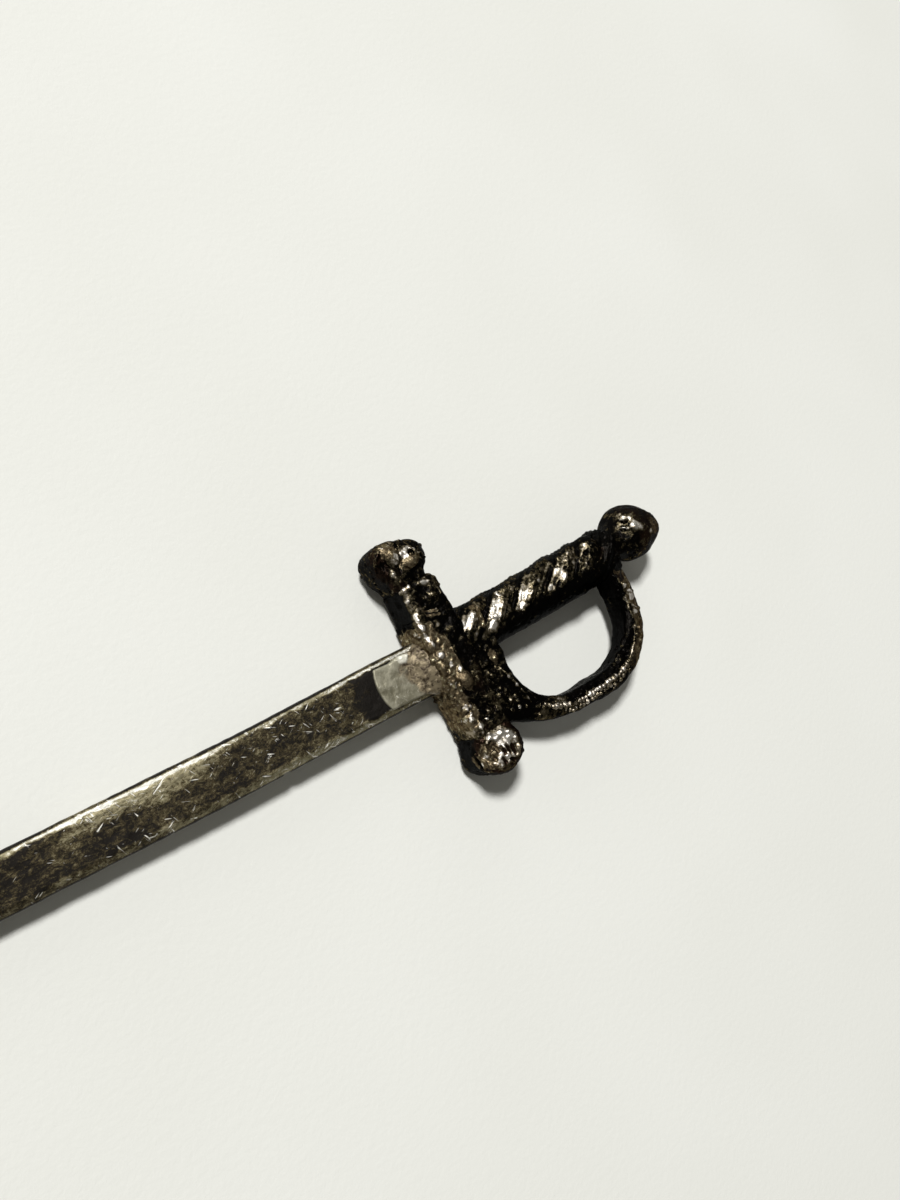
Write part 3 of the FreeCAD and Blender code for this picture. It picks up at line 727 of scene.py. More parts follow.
def upper_dark(points):
    """Round the two worn, highlighted lobes, in the crack and the dished oval, and on the left flank, which
    is painted shade.
    """
    left = ellipsoid(points, (-0.75, 5.4, 1.4), (0.65, 1.2, 0.8))
    right = ellipsoid(points, (0.25, 5.1, 1.2), (0.8, 0.6, 0.6))
    ground = 0.27 * step(np.minimum(left, right), -0.1, 0.25)
    # painted shade on the left flank, which faces the camera
    flank = 0.3 * step(-points[:, 0], 1.1, 1.5)
    crack = 0.9 * strokes(points, itertools.pairwise(UPPER_CRACK), 0.07)
    oval = 0.8 * strokes(points, [UPPER_OVAL], 0.2) * step(points[:, 2], 0.6, 1.0)
    return np.max([ground, crack, oval, flank], axis=0)


def build_upper_finial(material):
    cast("quillon_finial_upper", upper_finial_clay(), material, UPPER_MARKS, upper_dark,
         gilt=upper_gilt, rust=upper_rust)


LOWER_CREST = ((-1.1, -6.3), (-0.85, -5.9), (-0.5, -5.72), (-0.25, -5.95), (0.15, -5.8),
               (0.62, -6.0), (0.88, -6.5), (0.85, -7.0), (0.5, -7.5))
LOWER_RIM = ((-1.6, -6.15), (-1.45, -6.65), (-1.15, -7.1), (-0.6, -7.45))
LOWER_DIMPLES = (((-0.9, -6.05), (-0.78, -6.35)), ((-0.6, -6.2), (-0.5, -6.6)),
                 ((-0.95, -6.65), (-0.82, -6.95)), ((-0.25, -6.5), (-0.2, -6.9)),
                 ((0.1, -6.6), (0.15, -7.05)), ((0.42, -6.7), (0.42, -7.2)),
                 ((-0.45, -7.05), (-0.35, -7.35)), ((0.0, -7.32), (0.22, -7.5)))
LOWER_MARKS = (
    (-0.5, -5.75, 1.7, 0.36), (0.15, -5.85, 1.7, 0.5), (-0.05, -6.25, 1.7, 0.45), (0.55, -6.25, 1.5, 0.45),
    (0.3, -6.4, 1.6, 0.35), (-0.45, -6.85, 1.5, 0.4), (-0.05, -7.1, 1.4, 0.38), (0.75, -6.8, 1.2, 0.32),
    (-1.15, -6.5, 1.3, 0.24), (-0.72, -7.1, 1.2, 0.35), (-1.4, -6.85, 1.0, 0.2), (0.1, -7.6, 1.0, 0.3),
    (0.45, -7.4, 1.0, 0.3), (-0.7, -6.5, 1.6, 0.26), (-1.6, -6.3, 1.0, 0.16), (0.3, -7.0, 1.5, 0.35))


def lower_finial_clay():
    low, high = hilt_box("quillon_finial_lower")
    neck, middle = high[1], (low[0] + high[0]) / 2
    clay = Clay(low - 0.45, high + 0.6)
    x, y, z = np.moveaxis(clay.points, -1, 0)
    clay.join(block(clay.points, (-1.28, neck - 1.2, -1.36), (1.3, neck + 0.35, 1.36), 0.45))
    plan = (np.hypot((x - middle) / 1.55, (y - neck + 1.06) / 1.28) - 1.0) * 1.28
    clay.join(smooth_max(plan, np.abs(z) - 1.42, 0.7), 0.35)
    clay.join(ellipsoid(clay.points, (-0.05, neck - 1.15, 0.75), (1.35, 1.15, 0.95)), 0.15)
    clay.settle()
    # two-lobed crest of the shell, its rim, the dimples between its ribs and the front crease
    clay.ridge_on_top(LOWER_CREST, 0.15, 0.07, sunk=0.04)
    clay.ridge_on_top(LOWER_RIM, 0.10, 0.06)
    for dimple in LOWER_DIMPLES:
        clay.groove_on_top(dimple, 0.12, 0.05)
    clay.groove([(-1.62, -5.75, 0.75), (-1.5, -6.9, 0.75)], 0.22, 0.1)
    clay.scatter(60, (0.05, 0.13), 41, 0.6)
    clay.scatter(50, (0.05, 0.11), 42, 0.2, cut=True)
    clay.roughen((0.7, 0.035, 12), (0.22, 0.018, 13))
    return clay


def lower_gilt(points):
    """The shell's left side and the flange's top."""
    x, y, z = points.T
    left = inside(points, (-0.9, -6.6, 1.3), (0.7, 0.8, 0.6), -0.2, 0.1)
    flange = step(-x, 1.3, 1.5) * step(-y, 6.0, 6.4) * step(z, 0.0, 0.5)
    return 0.5 * np.maximum(left, flange)


def lower_rust(points):
    return step(points[:, 2], 0.4, 1.2)


def lower_dark(points):
    """Round the shell and its rim, but for the flange, and in the dimples and a hollow."""
    shell = ellipsoid(points, (-0.1, -6.6, 1.4), (1.15, 1.2, 1.0))
    rim = ellipsoid(points, (-1.3, -6.9, 0.9), (0.45, 0.6, 0.4))
    flange = step(-points[:, 2], 0.5, 0.9) * step(-points[:, 0], 0.9, 1.2)
    ground = 0.42 * step(np.minimum(shell, rim), -0.05, 0.2) * (1 - 0.7 * flange)
    hollow = 0.55 * inside(points, (-0.72, -6.35, 1.4), (0.3, 0.5, 0.5), -0.1, 0.1)
    return np.max([ground, 1.1 * strokes(points, LOWER_DIMPLES, 0.085), hollow], axis=0) + 0.1


def build_lower_finial(material):
    cast("quillon_finial_lower", lower_finial_clay(), material, LOWER_MARKS, lower_dark,
         rust=lower_rust, gilt=lower_gilt)


# ---------- pommel
FACETS, FACET_DEPTH = 14, 0.945
GOLDEN_ANGLE = math.pi * (3.0 - math.sqrt(5.0))
POMMEL_MARKS = (
    (15.3, 1.3, 1.4, 0.2), (15.02, 1.1, 1.4, 0.18), (15.45, 1.0, 1.5, 0.16), (14.88, 0.55, 1.5, 0.22),
    (15.15, 0.8, 1.5, 0.12), (15.6, 0.5, 1.8, 0.3), (15.85, 0.2, 1.8, 0.24), (16.6, -0.35, 1.6, 0.22),
    (15.45, 1.2, 1.6, 0.14), (15.02, 0.85, 1.5, 0.16), (15.25, 0.6, 1.7, 0.14))


def faceted_ball(points, middle, radius):
    """The distance to a ball with soft facets spread evenly round it."""
    ball = ellipsoid(points, middle, (radius,) * 3)
    for i in range(FACETS):
        rise = 1.0 - (i + 0.5) / (FACETS / 2)
        turn = GOLDEN_ANGLE * i + 0.6
        flat = math.sqrt(1.0 - rise * rise)
        facing = np.array([flat * math.cos(turn), flat * math.sin(turn), rise])
        ball = smooth_max(ball, (points - middle) @ facing - radius * FACET_DEPTH, 0.12)
    return ball


def pommel_clay():
    low, high = hilt_box("pommel")
    radius = (high[2] - low[2]) / 2
    middle = np.array([high[0] - radius, (low[1] + high[1]) / 2, 0.0])
    clay = Clay(low - (0.9, 0.35, 0.35), high + 0.45)
    clay.join(faceted_ball(clay.points, middle, radius))
    clay.join(ellipsoid(clay.points, (17.1, -0.1, 0.45), (1.2, 0.95, 0.95)), 0.5)
    clay.join(capsule(clay.points, (low[0] - 0.3, 0.0, 0.0), middle, 1.16), 0.35)
    clay.settle()
    # two small rings, a lump and a ridge on the crown
    for x, y, radius in ((15.25, 1.05, 0.25), (14.98, 0.6, 0.19)):
        place = clay.on_top(x, y)
        clay.pit(place, radius * 0.8, 0.05)
        clay.ring(place, clay.outward(place), radius, 0.095, 0.03)
    clay.bead(clay.on_top(15.6, 0.45, 0.05), (0.42, 0.32, 0.16), 0.1)
    clay.ridge_on_top([(16.35, 0.0), (16.75, -0.5)], 0.1, sunk=0.05)
    clay.scatter(50, (0.06, 0.16), 51, 0.7)
    clay.scatter(40, (0.05, 0.12), 52, 0.2, cut=True)
    clay.roughen((0.9, 0.04, 15), (0.3, 0.016, 16))
    return clay


def pommel_gilt(points):
    return 0.5 * inside(points, (17.1, -0.1, 1.3), (0.55, 0.6, 0.5), -0.15, 0.1)


def pommel_rust(points):
    return step(points[:, 0], 15.0, 16.2)


def pommel_dark(points):
    """All over, less on the nose and less still on the crown."""
    nose = step(points[:, 0], 16.4, 17.4) * step(-points[:, 1], -0.6, 0.2)
    crown = inside(points, (15.3, 0.85, 1.4), (0.75, 0.75, 0.8), -0.2, 0.1)
    return 0.24 - 0.1 * nose - 0.2 * crown


def build_pommel(material):
    cast("pommel", pommel_clay(), material, POMMEL_MARKS, pommel_dark, gilt=pommel_gilt, rust=pommel_rust)


def build_rivet(material):
    """The domed rivet head behind the pommel, with a nick across it."""
    low, high = hilt_box("pommel_rivet")
    clay = Clay(low - (0.5, 0.3, 0.3), high + 0.25, RIVET_CELL)
    middle = (low[1] + high[1]) / 2
    radius = (high[2] - low[2]) / 2
    radii = (high[0] - low[0] + 0.1, radius, radius)
    clay.join(ellipsoid(clay.points, (low[0] - 0.1, middle, 0.0), radii))
    clay.settle()
    clay.groove([(high[0], middle - 0.3, 0.1), (high[0], middle + 0.3, -0.1)], 0.05, 0.04)
    clay.roughen((0.35, 0.02, 18), (0.15, 0.01, 19))
    cast("pommel_rivet", clay, material, [(high[0], middle, 0.2, 0.2)])


# ---------- knuckle bow
# the opening, the outer line and the arc of its left part, and how far the crest is from the opening
LEG_INSIDE, INSIDE_END, INSIDE_DEPTH, INSIDE_RADIUS = 3.14, 12.52, 6.35, 3.45
OUTSIDE_END, OUTSIDE_DEPTH, OUTSIDE_RADIUS = 14.17, 7.8, 4.87
HEEL_X, HEEL_Y, HEEL_RADIUS = 8.0, 3.82, 11.5
CREST_INSET = 0.64
LEG_LINE = ((2.45, -2.9, 0.98), (2.62, -3.5, 1.0), (2.86, -4.15, 1.0), (3.1, -4.85, 0.98), (3.2, -5.45, 0.95))
LEG_LUMPS = ((2.05, -4.69, 0.92), (1.94, -3.66, 0.92), (2.4, -5.3, 0.85), (1.7, -3.0, 0.9))
BAND_FACETS = ((13.25, -3.3), (12.95, -4.25), (12.3, -5.0), (11.45, -5.75), (10.55, -6.3))
BOW_MARKS = (
    (13.1, -2.49, 1.1, 0.17), (13.42, -3.0, 0.9, 0.14), (2.62, -3.5, 1.1, 0.12), (2.86, -4.15, 1.1, 0.13),
    (3.15, -5.1, 1.05, 0.13), (3.2, -5.5, 1.0, 0.12), (2.05, -4.69, 1.0, 0.14), (1.94, -3.66, 1.0, 0.12),
    (2.4, -5.3, 0.95, 0.1), (12.95, -4.3, 0.95, 0.2), (13.3, -3.35, 0.95, 0.2), (12.3, -5.0, 0.95, 0.16))


def inside_distance(points):
    """How far a point is outside the bow's opening, looking along z."""
    middle = (LEG_INSIDE + INSIDE_END) / 2
    straight = (INSIDE_END - LEG_INSIDE) / 2 - INSIDE_RADIUS
    across = np.maximum(np.abs(points[..., 0] - middle) - straight, 0.0)
    down = np.maximum(INSIDE_RADIUS - INSIDE_DEPTH - points[..., 1], 0.0)
    return np.hypot(across, down) - INSIDE_RADIUS


def outside_distance(points):
    """How far a point is outside the bow's outer line, looking along z."""
    x, y = points[..., 0], points[..., 1]
    corner_x, corner_y = OUTSIDE_END - OUTSIDE_RADIUS, OUTSIDE_RADIUS - OUTSIDE_DEPTH
    heel = np.hypot(x - HEEL_X, y - HEEL_Y) - HEEL_RADIUS
    corner = np.hypot(x - corner_x, y - corner_y) - OUTSIDE_RADIUS
    foot = np.where(x < corner_x, -OUTSIDE_DEPTH - y, corner)
    side = np.where(y > corner_y, x - OUTSIDE_END, foot)
    return np.where(x < HEEL_X, np.maximum(heel, -OUTSIDE_DEPTH - y), side)


def crest_inset(points):
    """How far the crest is from the opening: less up the right side."""
    aside = step(points[..., 0], 10.0, 12.6) * step(points[..., 1], -6.0, -3.5)
    return CREST_INSET * (1.0 - 0.55 * aside)


def on_band(points):
    """Whether points are on the bow's top, away from its edges."""
    inner = (inside_distance(points) > 0.15) & (outside_distance(points) < -0.22)
    return inner & (points[:, 2] > 0.4)


def bow_clay():
    low, high = hilt_box("knuckle_bow")
    clay = Clay(low - 0.4, high + (0.4, 1.9, 0.5), BOW_CELL)
    points = clay.points
    inner, outer, inset = inside_distance(points), outside_distance(points), crest_inset(points)
    # the top rises from the opening to the crest and falls again to the outer line
    rise = np.clip(inner / inset, 0.0, 1.0)
    fall = np.clip((inner - inset) / 1.2, 0.0, 1.0)
    height = high[2] - 0.16 * (1.0 - rise) - 0.5 * fall**1.2
    band = smooth_max(smooth_max(outer, -inner, 0.3), np.abs(points[..., 2]) - height, 0.3)
    band = smooth_max(band, points[..., 1] - (high[1] + 1.3), 0.2)
    clay.join(smooth_max(band, low[0] - 0.15 - points[..., 0], 0.1))
    root = (low[0] - 0.3, high[1] - 0.7, -1.1), (LEG_INSIDE - 0.05, high[1] + 1.5, 1.12)
    clay.join(block(points, *root, 0.3), 0.35)
    clay.settle()
    clay.ridge(LEG_LINE, 0.08, 0.07)
    for place in LEG_LUMPS:
        clay.bead(place, (0.13, 0.16, 0.12), 0.06)
    for x, y in BAND_FACETS:
        clay.bead((x, y, 0.72), (0.5, 0.42, 0.24))
    clay.bead((13.1, -2.49, 0.95), (0.14, 0.2, 0.14), 0.05)
    clay.scatter(170, (0.06, 0.16), 61, 0.62, on_band)
    clay.scatter(90, (0.05, 0.13), 62, 0.2, cut=True)
    clay.roughen((0.9, 0.05, 22), (0.3, 0.02, 23))
    return clay


def past_crest(points, low, high):
    """0 on the bow's inner side and 1 on its outer side, fading over the crest."""
    return step(inside_distance(points) - crest_inset(points), low, high)


def bow_gilt(points):
    """The leg's root, and mottled patches outside the crest on the right."""
    x, _, z = points.T
    bent = wavering(points, 0.25, 0.5, (65, 67, 69))
    leg = 0.6 * inside(bent, (2.35, -2.1, 1.0), (0.36, 0.6, 0.5), -0.15, 0.2)
    outer = past_crest(points, -0.05, 0.15) * step(x, 10.5, 11.5) * step(z, 0.3, 0.5)
    return np.maximum(leg, 0.62 * outer * step(rough(points, 0.7, 64), -0.25, 0.25))


def bow_rust(points):
    outer = past_crest(points, 0.0, 0.3)
    return step(points[:, 0], 10.0, 12.0) * step(points[:, 2], 0.2, 0.6) * outer - 0.5 * (1 - outer)


def bow_dark(points):
    """The wall, which is patina and painted shade together, the opening's rim, the leg, the far root and the
    outer side on the left.
    """
    x, y, z = points.T
    # the walls below the top: patina in part, painted shade in part
    wall = step(-z, -0.75, -0.5)
    rim = step(-inside_distance(points), -0.55, -0.35) * step(x, 4.5, 6.0)
    leg = 0.5 * step(-y, 2.3, 3.0) * step(-x, -6.0, -4.0)
    root = step(y, -2.6, -1.9) * step(x, 9.0, 11.0)
    outer = 0.3 * (1 - step(x, 10.0, 12.0))
    return 0.5 * np.max([wall, rim, leg, root, outer], axis=0)


def build_bow(material):
    cast("knuckle_bow", bow_clay(), material, BOW_MARKS, bow_dark, gilt=bow_gilt, rust=bow_rust)


def crest_path():
    """Points along the bow's crest, from the leg's foot round to the far end."""
    left, right = np.linspace(0.85, math.pi / 2, 40), np.linspace(0.0, math.pi / 2, 60)
    ways = np.hstack([(-np.cos(left), -np.sin(left)), (np.sin(right), -np.cos(right))]).T
    corner = np.full_like(ways, INSIDE_RADIUS - INSIDE_DEPTH)
    corner[:, 0] = INSIDE_END - INSIDE_RADIUS
    corner[:len(left), 0] = LEG_INSIDE + INSIDE_RADIUS
    inner = corner + ways * INSIDE_RADIUS
    return inner + ways * crest_inset(inner)[:, None]


def build_beads(material):
    """A chain of joined grains along the bow's crest, with a second row at the bottom."""
    low, high = hilt_box("bow_bead_wire")
    corner = (high[0] + 0.4, high[1] + 0.5, high[2] + 0.35)
    clay = Clay((low[0] - 0.6, -7.6, 0.4), corner, FINE_CELL)
    path = crest_path()
    length = np.append(0.0, np.cumsum(np.linalg.norm(np.diff(path, axis=0), axis=1)))
    draw = np.random.default_rng(71)
    level = (low[2] + high[2]) / 2
    previous = None
    at = 0.05
    while at < length[-1] - 0.1:
        share = at / length[-1]
        radius = draw.uniform(0.1, 0.21) if share < 0.62 else draw.uniform(0.07, 0.13)
        middle = [np.interp(at, length, path[:, side]) for side in (0, 1)]
        place = np.array([*middle, level - 0.06 + draw.uniform(-0.03, 0.03)])
        place[:2] += draw.uniform(-0.06, 0.06, 2)
        clay.bead(place, radius * draw.uniform(0.75, 1.3, 3), 0.05)
        if previous is not None:
            clay.ridge([previous, place], 0.085, 0.04)
        if 0.12 < share < 0.6:
            side = place + (draw.uniform(-0.1, 0.1), -draw.uniform(0.22, 0.36), -0.1)
            clay.bead(side, draw.uniform(0.11, 0.17), 0.03)
            clay.ridge([place, side], 0.07, 0.03)
        previous = place
        at += draw.uniform(0.24, 0.36)
    clay.settle()
    clay.roughen((0.25, 0.02, 25), (0.1, 0.008, 26))
    points, faces, _ = clay.mesh()
    proud = step(points[:, 2], level - 0.05, level + 0.12) * 0.08 - 0.04
    bright = 0.22 * step(-points[:, 1], 5.9, 6.6) * step(-points[:, 0], -10.4, -9.4)
    make_piece("bow_bead_wire", hilt_to_row(points), faces, material, "bead_metal", ["bow_bead_wire"],
               proud=proud, rubbed=bright)


# ---------- grip
WIRE_COUNT = 4
WIRE_RADIUS, WIRE_ORBIT = 0.59, 0.91
WIRE_FLARE, WIRE_PHASE = math.radians(0.55), math.radians(20.0)
WIRE_LEAD = 9.2
PITCH = 2 * math.pi / WIRE_COUNT
# bright marks on the strands' crests: worn spots, and painted highlights where the light glints
GRIP_MARKS = (
    (1.44, 0.65, 1.5, 0.6), (1.9, 0.5, 1.5, 0.4), (2.03, -0.72, 1.3, 0.3), (3.79, 0.5, 1.5, 0.5),
    (3.4, 0.1, 1.5, 0.45), (3.1, -0.6, 1.4, 0.3), (4.4, 0.95, 1.3, 0.2), (6.13, 0.65, 1.5, 0.45),
    (5.75, 0.2, 1.5, 0.45), (5.34, -0.39, 1.4, 0.3), (6.5, 0.95, 1.3, 0.25), (8.72, 0.6, 1.5, 0.5),
    (8.4, 0.3, 1.5, 0.3), (7.75, -0.3, 1.5, 0.3), (9.0, -0.1, 1.5, 0.25), (7.3, 0.5, 1.4, 0.2),
    (11.35, 1.05, 1.5, 0.3), (11.05, 0.85, 1.4, 0.3), (10.85, 0.5, 1.4, 0.25), (10.3, 0.25, 1.5, 0.25),
    (10.1, -0.1, 1.5, 0.25))


def bump_at(x, middle, width):
    return np.exp(-((x - middle) / width) ** 2)


def strand_angle(points, start):
    """How far round points are from the nearest strand, in radians."""
    x, y, z = np.moveaxis(points, -1, 0)
    along = x - 0.65 * bump_at(x, 9.6, 2.0) - start
    turn = np.arctan2(z, y) + 2 * math.pi * along / WIRE_LEAD - WIRE_PHASE
    return np.mod(turn + PITCH / 2, PITCH) - PITCH / 2


def grip_clay(low, high):
    """Four twisted strands that run into each other, each of finer wires, round a core."""
    clay = Clay(low - (0.1, 0.45, 0.45), high + (0.6, 0.45, 0.45), GRIP_CELL)
    x, y, z = np.moveaxis(clay.points, -1, 0)
    orbit = WIRE_ORBIT + (x - low[0]) * math.tan(WIRE_FLARE)
    away, aside = np.hypot(y, z), strand_angle(clay.points, low[0])
    lean = math.cos(math.atan(2 * math.pi * WIRE_ORBIT / WIRE_LEAD))
    near = np.hypot(away - orbit, away * aside * lean) - WIRE_RADIUS
    other = np.hypot(away - orbit, away * (PITCH - np.abs(aside)) * lean) - WIRE_RADIUS
    clay.join(smooth_min(near, other, 0.15))
    core = (np.hypot((y + 0.2) / (orbit + 0.6), z / (orbit + 0.36)) - 1.0) * (orbit + 0.4)
    clay.join(core, 0.12)
    # a narrower waist, and the two ends cut square
    waist = 0.16 * bump_at(x, 5.6, 2.6)
    clay.field = smooth_max(clay.field, y - (orbit + 0.52 - waist), 0.3)
    clay.cut(-np.maximum(low[0] - 0.05 - x, x - high[0] - 0.45), 0.15)
    clay.settle()
    # finer wires in each strand
    close = np.abs(clay.field) < SKIN_DEPTH
    spread = (aside / PITCH)[close] + 0.03 * noise(clay.points[close], 0.8, 77)
    clay.field[close] -= 0.024 * np.cos(2 * math.pi * 6 * spread) * step(y[close], -0.9, -0.1)
    # the last strand ends in a round lobe, and two strands carry small rings
    clay.bead((11.95, 0.42, 0.72), (0.82, 1.02, 0.86), 0.15)
    clay.ring((4.5, 0.85, 1.22), (0.1, 0.55, 0.83), 0.19, 0.06, 0.04)
    clay.ring((8.15, 0.05, 1.5), (-0.1, 0.1, 0.99), 0.2, 0.055, 0.04)
    clay.scatter(150, (0.07, 0.24), 81, 0.7, lambda p: (p[:, 2] > 0.5) & (p[:, 1] < 1.0))
    clay.scatter(110, (0.05, 0.14), 82, 0.2, cut=True)
    clay.roughen((0.8, 0.045, 83), (0.28, 0.022, 85))
    return clay


def build_grip(material):
    """The cast grip, one piece that stands for the four wires."""
    names = [f"grip_wire_{number}" for number in range(1, WIRE_COUNT + 1)]
    boxes = [hilt_box(name) for name in names]
    low, high = np.min([box[0] for box in boxes], axis=0), np.max([box[1] for box in boxes], axis=0)
    points, faces, proud = grip_clay(low, high).mesh()
    x, y, _ = points.T
    valley = step(np.abs(strand_angle(points, low[0])) / PITCH, 0.35, 0.46)
    # painted shade on the grip's underside
    under = step(-y - 0.35 * (1 - step(x, 4.0, 7.0)), 0.3, 0.8)
    dark = np.max([under, valley, step(x, 11.3, 11.9)], axis=0)
    fading = 1.06 - 0.16 * step(x, 3.0, 8.0)
    rubbed = fading * spots(points, GRIP_MARKS) * (1 - under) * (1 - valley) - 0.45 * dark
    # proud is capped, and lowered along the strands' upper flank, which makes that flank darker
    proud = np.minimum(proud, 0.1) - 0.3 * step(y, 0.95, 1.25)
    gilt = 0.8 * inside(points, (2.55, 0.5, 1.4), (0.28, 0.9, 0.6), -0.1, 0.1)
    make_piece("grip", hilt_to_row(points), faces, material, "grip_metal", names,
               proud=proud, rubbed=rubbed, gilt=gilt)


def close_rings(rings):
    """The points and faces of a stack of rings, closed with a fan over each end."""
    rows, around = rings.shape[:2]
    index = np.arange(rows * around).reshape(rows, around)
    ahead = np.roll(index, -1, axis=1)
    walls = np.stack([index[:-1], ahead[:-1], ahead[1:], index[1:]], -1).reshape(-1, 4)
    ends = rings[[0, -1]].mean(axis=1)
    first, last = np.full(around, rows * around), np.full(around, rows * around + 1)
    start = np.stack([ahead[0], index[0], first, first], -1)
    end = np.stack([index[-1], ahead[-1], last, last], -1)
    return np.concatenate([rings.reshape(-1, 3), ends]), np.concatenate([walls, start, end])


def build_rod(material):
    """The tang rod inside the grip, with rounded ends."""
    low, high = hilt_box("tang_rod")
    x = np.linspace(low[0], high[0], 240)
    rounding = np.sqrt(np.clip(np.minimum(x - x[0], x[-1] - x) / 0.1 + 0.4, 0.0, 1.0))
    radius = (high[1] - low[1]) / 2 * rounding[:, None]
    angles = np.linspace(0.0, 2 * math.pi, 32, endpoint=False)
    y = (low[1] + high[1]) / 2 - radius * np.cos(angles)
    x = np.broadcast_to(x[:, None], y.shape)
    points, faces = close_rings(np.stack([x, y, radius * np.sin(angles)], axis=-1))
    make_piece("tang_rod", hilt_to_row(points), faces, material, "blade_metal", ["tang_rod"])


# ---------- blade
# the blade's half-width at its shoulder, and how far its line leans across, at the root and beyond
SHOULDER_HALF_WIDTH, ROOT_SHIFT, FAR_SHIFT = 0.94, 0.12, -0.15
POINT_LENGTH, POINT_HALF_WIDTH, POINT_HALF_THICKNESS, POINT_EDGE = 9.0, 0.12, 0.11, 0.05
SHOULDER_HALF_THICKNESS, ROOT_EDGE, SHOULDER_EDGE = 0.35, 0.17, 0.15
BEVEL = 0.38                                # how wide each sloping strip beside an edge is
SIDE_STEPS = (8, 44, 8, 5, 8, 44, 8, 5)     # points along each bevel, flat, bevel and edge
# near the hilt the cross-sections stand closer together
FINE_LENGTH, FINE_STEP, LONG_STEP = 25.0, 0.06, 0.25


def blade_ring(half_width, half_thickness, edge, bevel):
    """One cross-section: the polygon of flats, bevels and edges, walked evenly."""
    w, t = half_width, half_thickness
    corners = np.array([(-w, edge), (-w + bevel, t), (w - bevel, t), (w, edge),
                        (w, -edge), (w - bevel, -t), (-w + bevel, -t), (-w, -edge)])
    sides = zip(corners, np.roll(corners, -1, axis=0), SIDE_STEPS)
    return np.array([start + (end - start) * share for start, end, count in sides
                     for share in np.arange(count) / count])


def blade_rings(low, high):
    """The blade's cross-sections from root to point, and each one's half-width."""
    root, tip = -0.1, low[0]
    shoulder = tip + POINT_LENGTH
    fine = np.arange(root, root - FINE_LENGTH, -FINE_STEP)
    long = np.arange(fine[-1] - LONG_STEP, tip + 0.05, -LONG_STEP)
    x = np.concatenate([fine, long, [tip + 0.03]])
    to_shoulder = np.clip((x - root) / (shoulder - root), 0.0, 1.0)
    to_point = np.clip((x - shoulder) / (tip - shoulder), 0.0, 1.0)

    def tapered(at_root, at_shoulder, at_point):
        return (at_root + (at_shoulder - at_root) * to_shoulder) * (1 - to_point) + at_point * to_point

    width = tapered(high[1], SHOULDER_HALF_WIDTH, POINT_HALF_WIDTH)
    thick = tapered(high[2], SHOULDER_HALF_THICKNESS, POINT_HALF_THICKNESS)
    edge = tapered(ROOT_EDGE, SHOULDER_EDGE, POINT_EDGE)
    bevel = np.minimum(BEVEL, 0.42 * width)
    rings = np.stack([blade_ring(*sizes) for sizes in zip(width, thick, edge, bevel)])
    for _ in range(3):
        rings = (np.roll(rings, 1, axis=1) + 2 * rings + np.roll(rings, -1, axis=1)) / 4
    across = np.broadcast_to(x[:, None, None], rings.shape[:2] + (1,))
    return np.concatenate([across, rings], axis=2), width


def worn(rings, width):
    """The rings with shallow dents, and nicks along the lower edge."""
    ahead = np.roll(rings, -1, axis=1) - np.roll(rings, 1, axis=1)
    normal = np.stack([np.zeros_like(ahead[..., 0]), -ahead[..., 2], ahead[..., 1]], axis=-1)
    normal /= np.maximum(np.linalg.norm(normal, axis=-1), 1e-9)[..., None]
    flat = rings.reshape(-1, 3)
    dents = 0.022 * rough(flat, 1.5, 101) + 0.012 * rough(flat, 0.4, 104)
    low_edge = step(-flat[:, 1] / np.repeat(width, rings.shape[1]), 0.86, 1.0)
    dents -= 0.09 * low_edge * step(noise(flat * (1.0, 0.2, 0.2), 0.55, 107), 0.55, 0.85)
    depth = dents.reshape(rings.shape[:2]) * np.clip(width / 1.2, 0.2, 1)[:, None]
    return rings + normal * depth[..., None]


def blade_tone(points, across):
    """How bright the metal looks: a painted highlight along the upper bevel above all, a lighter lower bevel,
    patches of the flat lighter or darker in their tarnish, and painted dark lines along both edges.
    """
    x = points[:, 0]
    wander = 0.07 * rough(points, 0.6, 111)
    upper = step(across + wander, 0.74, 0.83)
    lower = step(-across + 1.3 * wander, 0.62, 0.78)
    pale = step(across + 2 * wander, 0.1, 0.5) * step(-x, 11.0, 14.5) * step(x, -21.0, -18.5)
    dark_root = step(x + 0.8 * rough(points, 0.9, 113), -5.5, -3.4)
    # glare: how strong the painted highlight on the upper bevel is along the blade
    glare = 0.50 + 0.37 * step(x, -6.5, -5.0) + 0.30 * step(-x, 17.3, 18.5)
    # painted shade: a thin dark line along each edge, where its rounding turns away
    rim = np.maximum(step(across, 0.88, 0.93), step(-across, 0.93, 0.97))
    tone = glare * upper * step(x, -24.5, -21.0) + (0.40 - 0.18 * step(-x, 7.0, 14.0)) * lower
    tone += 0.32 * pale - 0.42 * dark_root * (1 - upper) * (1 - lower)
    tone += 0.01 - 0.10 * step(-x, 17.0, 22.0)
    return tone - 0.9 * rim


def build_blade(material):
    low, high = (np.array(corner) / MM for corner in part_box("blade"))
    rings, width = blade_rings(low, high)
    points, faces = close_rings(worn(rings, width))
    across = points[:, 1] / np.append(np.repeat(width, rings.shape[1]), [1.0, 1.0])
    lean = ROOT_SHIFT + (FAR_SHIFT - ROOT_SHIFT) * step(-points[:, 0], 0.0, 14.0)
    points[:, 1] += lean * step(points[:, 0], low[0], low[0] + 30.0)
    make_piece("blade", points, faces, material, "blade_metal", ["blade"], tone=blade_tone(points, across))


SOLDER_BEAD, SOLDER_NOSE = (-1.55, 1.15, 0.46), 2.6
# bright marks on the solder's bead, painted as a highlight
SOLDER_MARKS = ((-1.55, 1.15, 0.6, 0.32), (-1.3, 1.3, 0.55, 0.2))


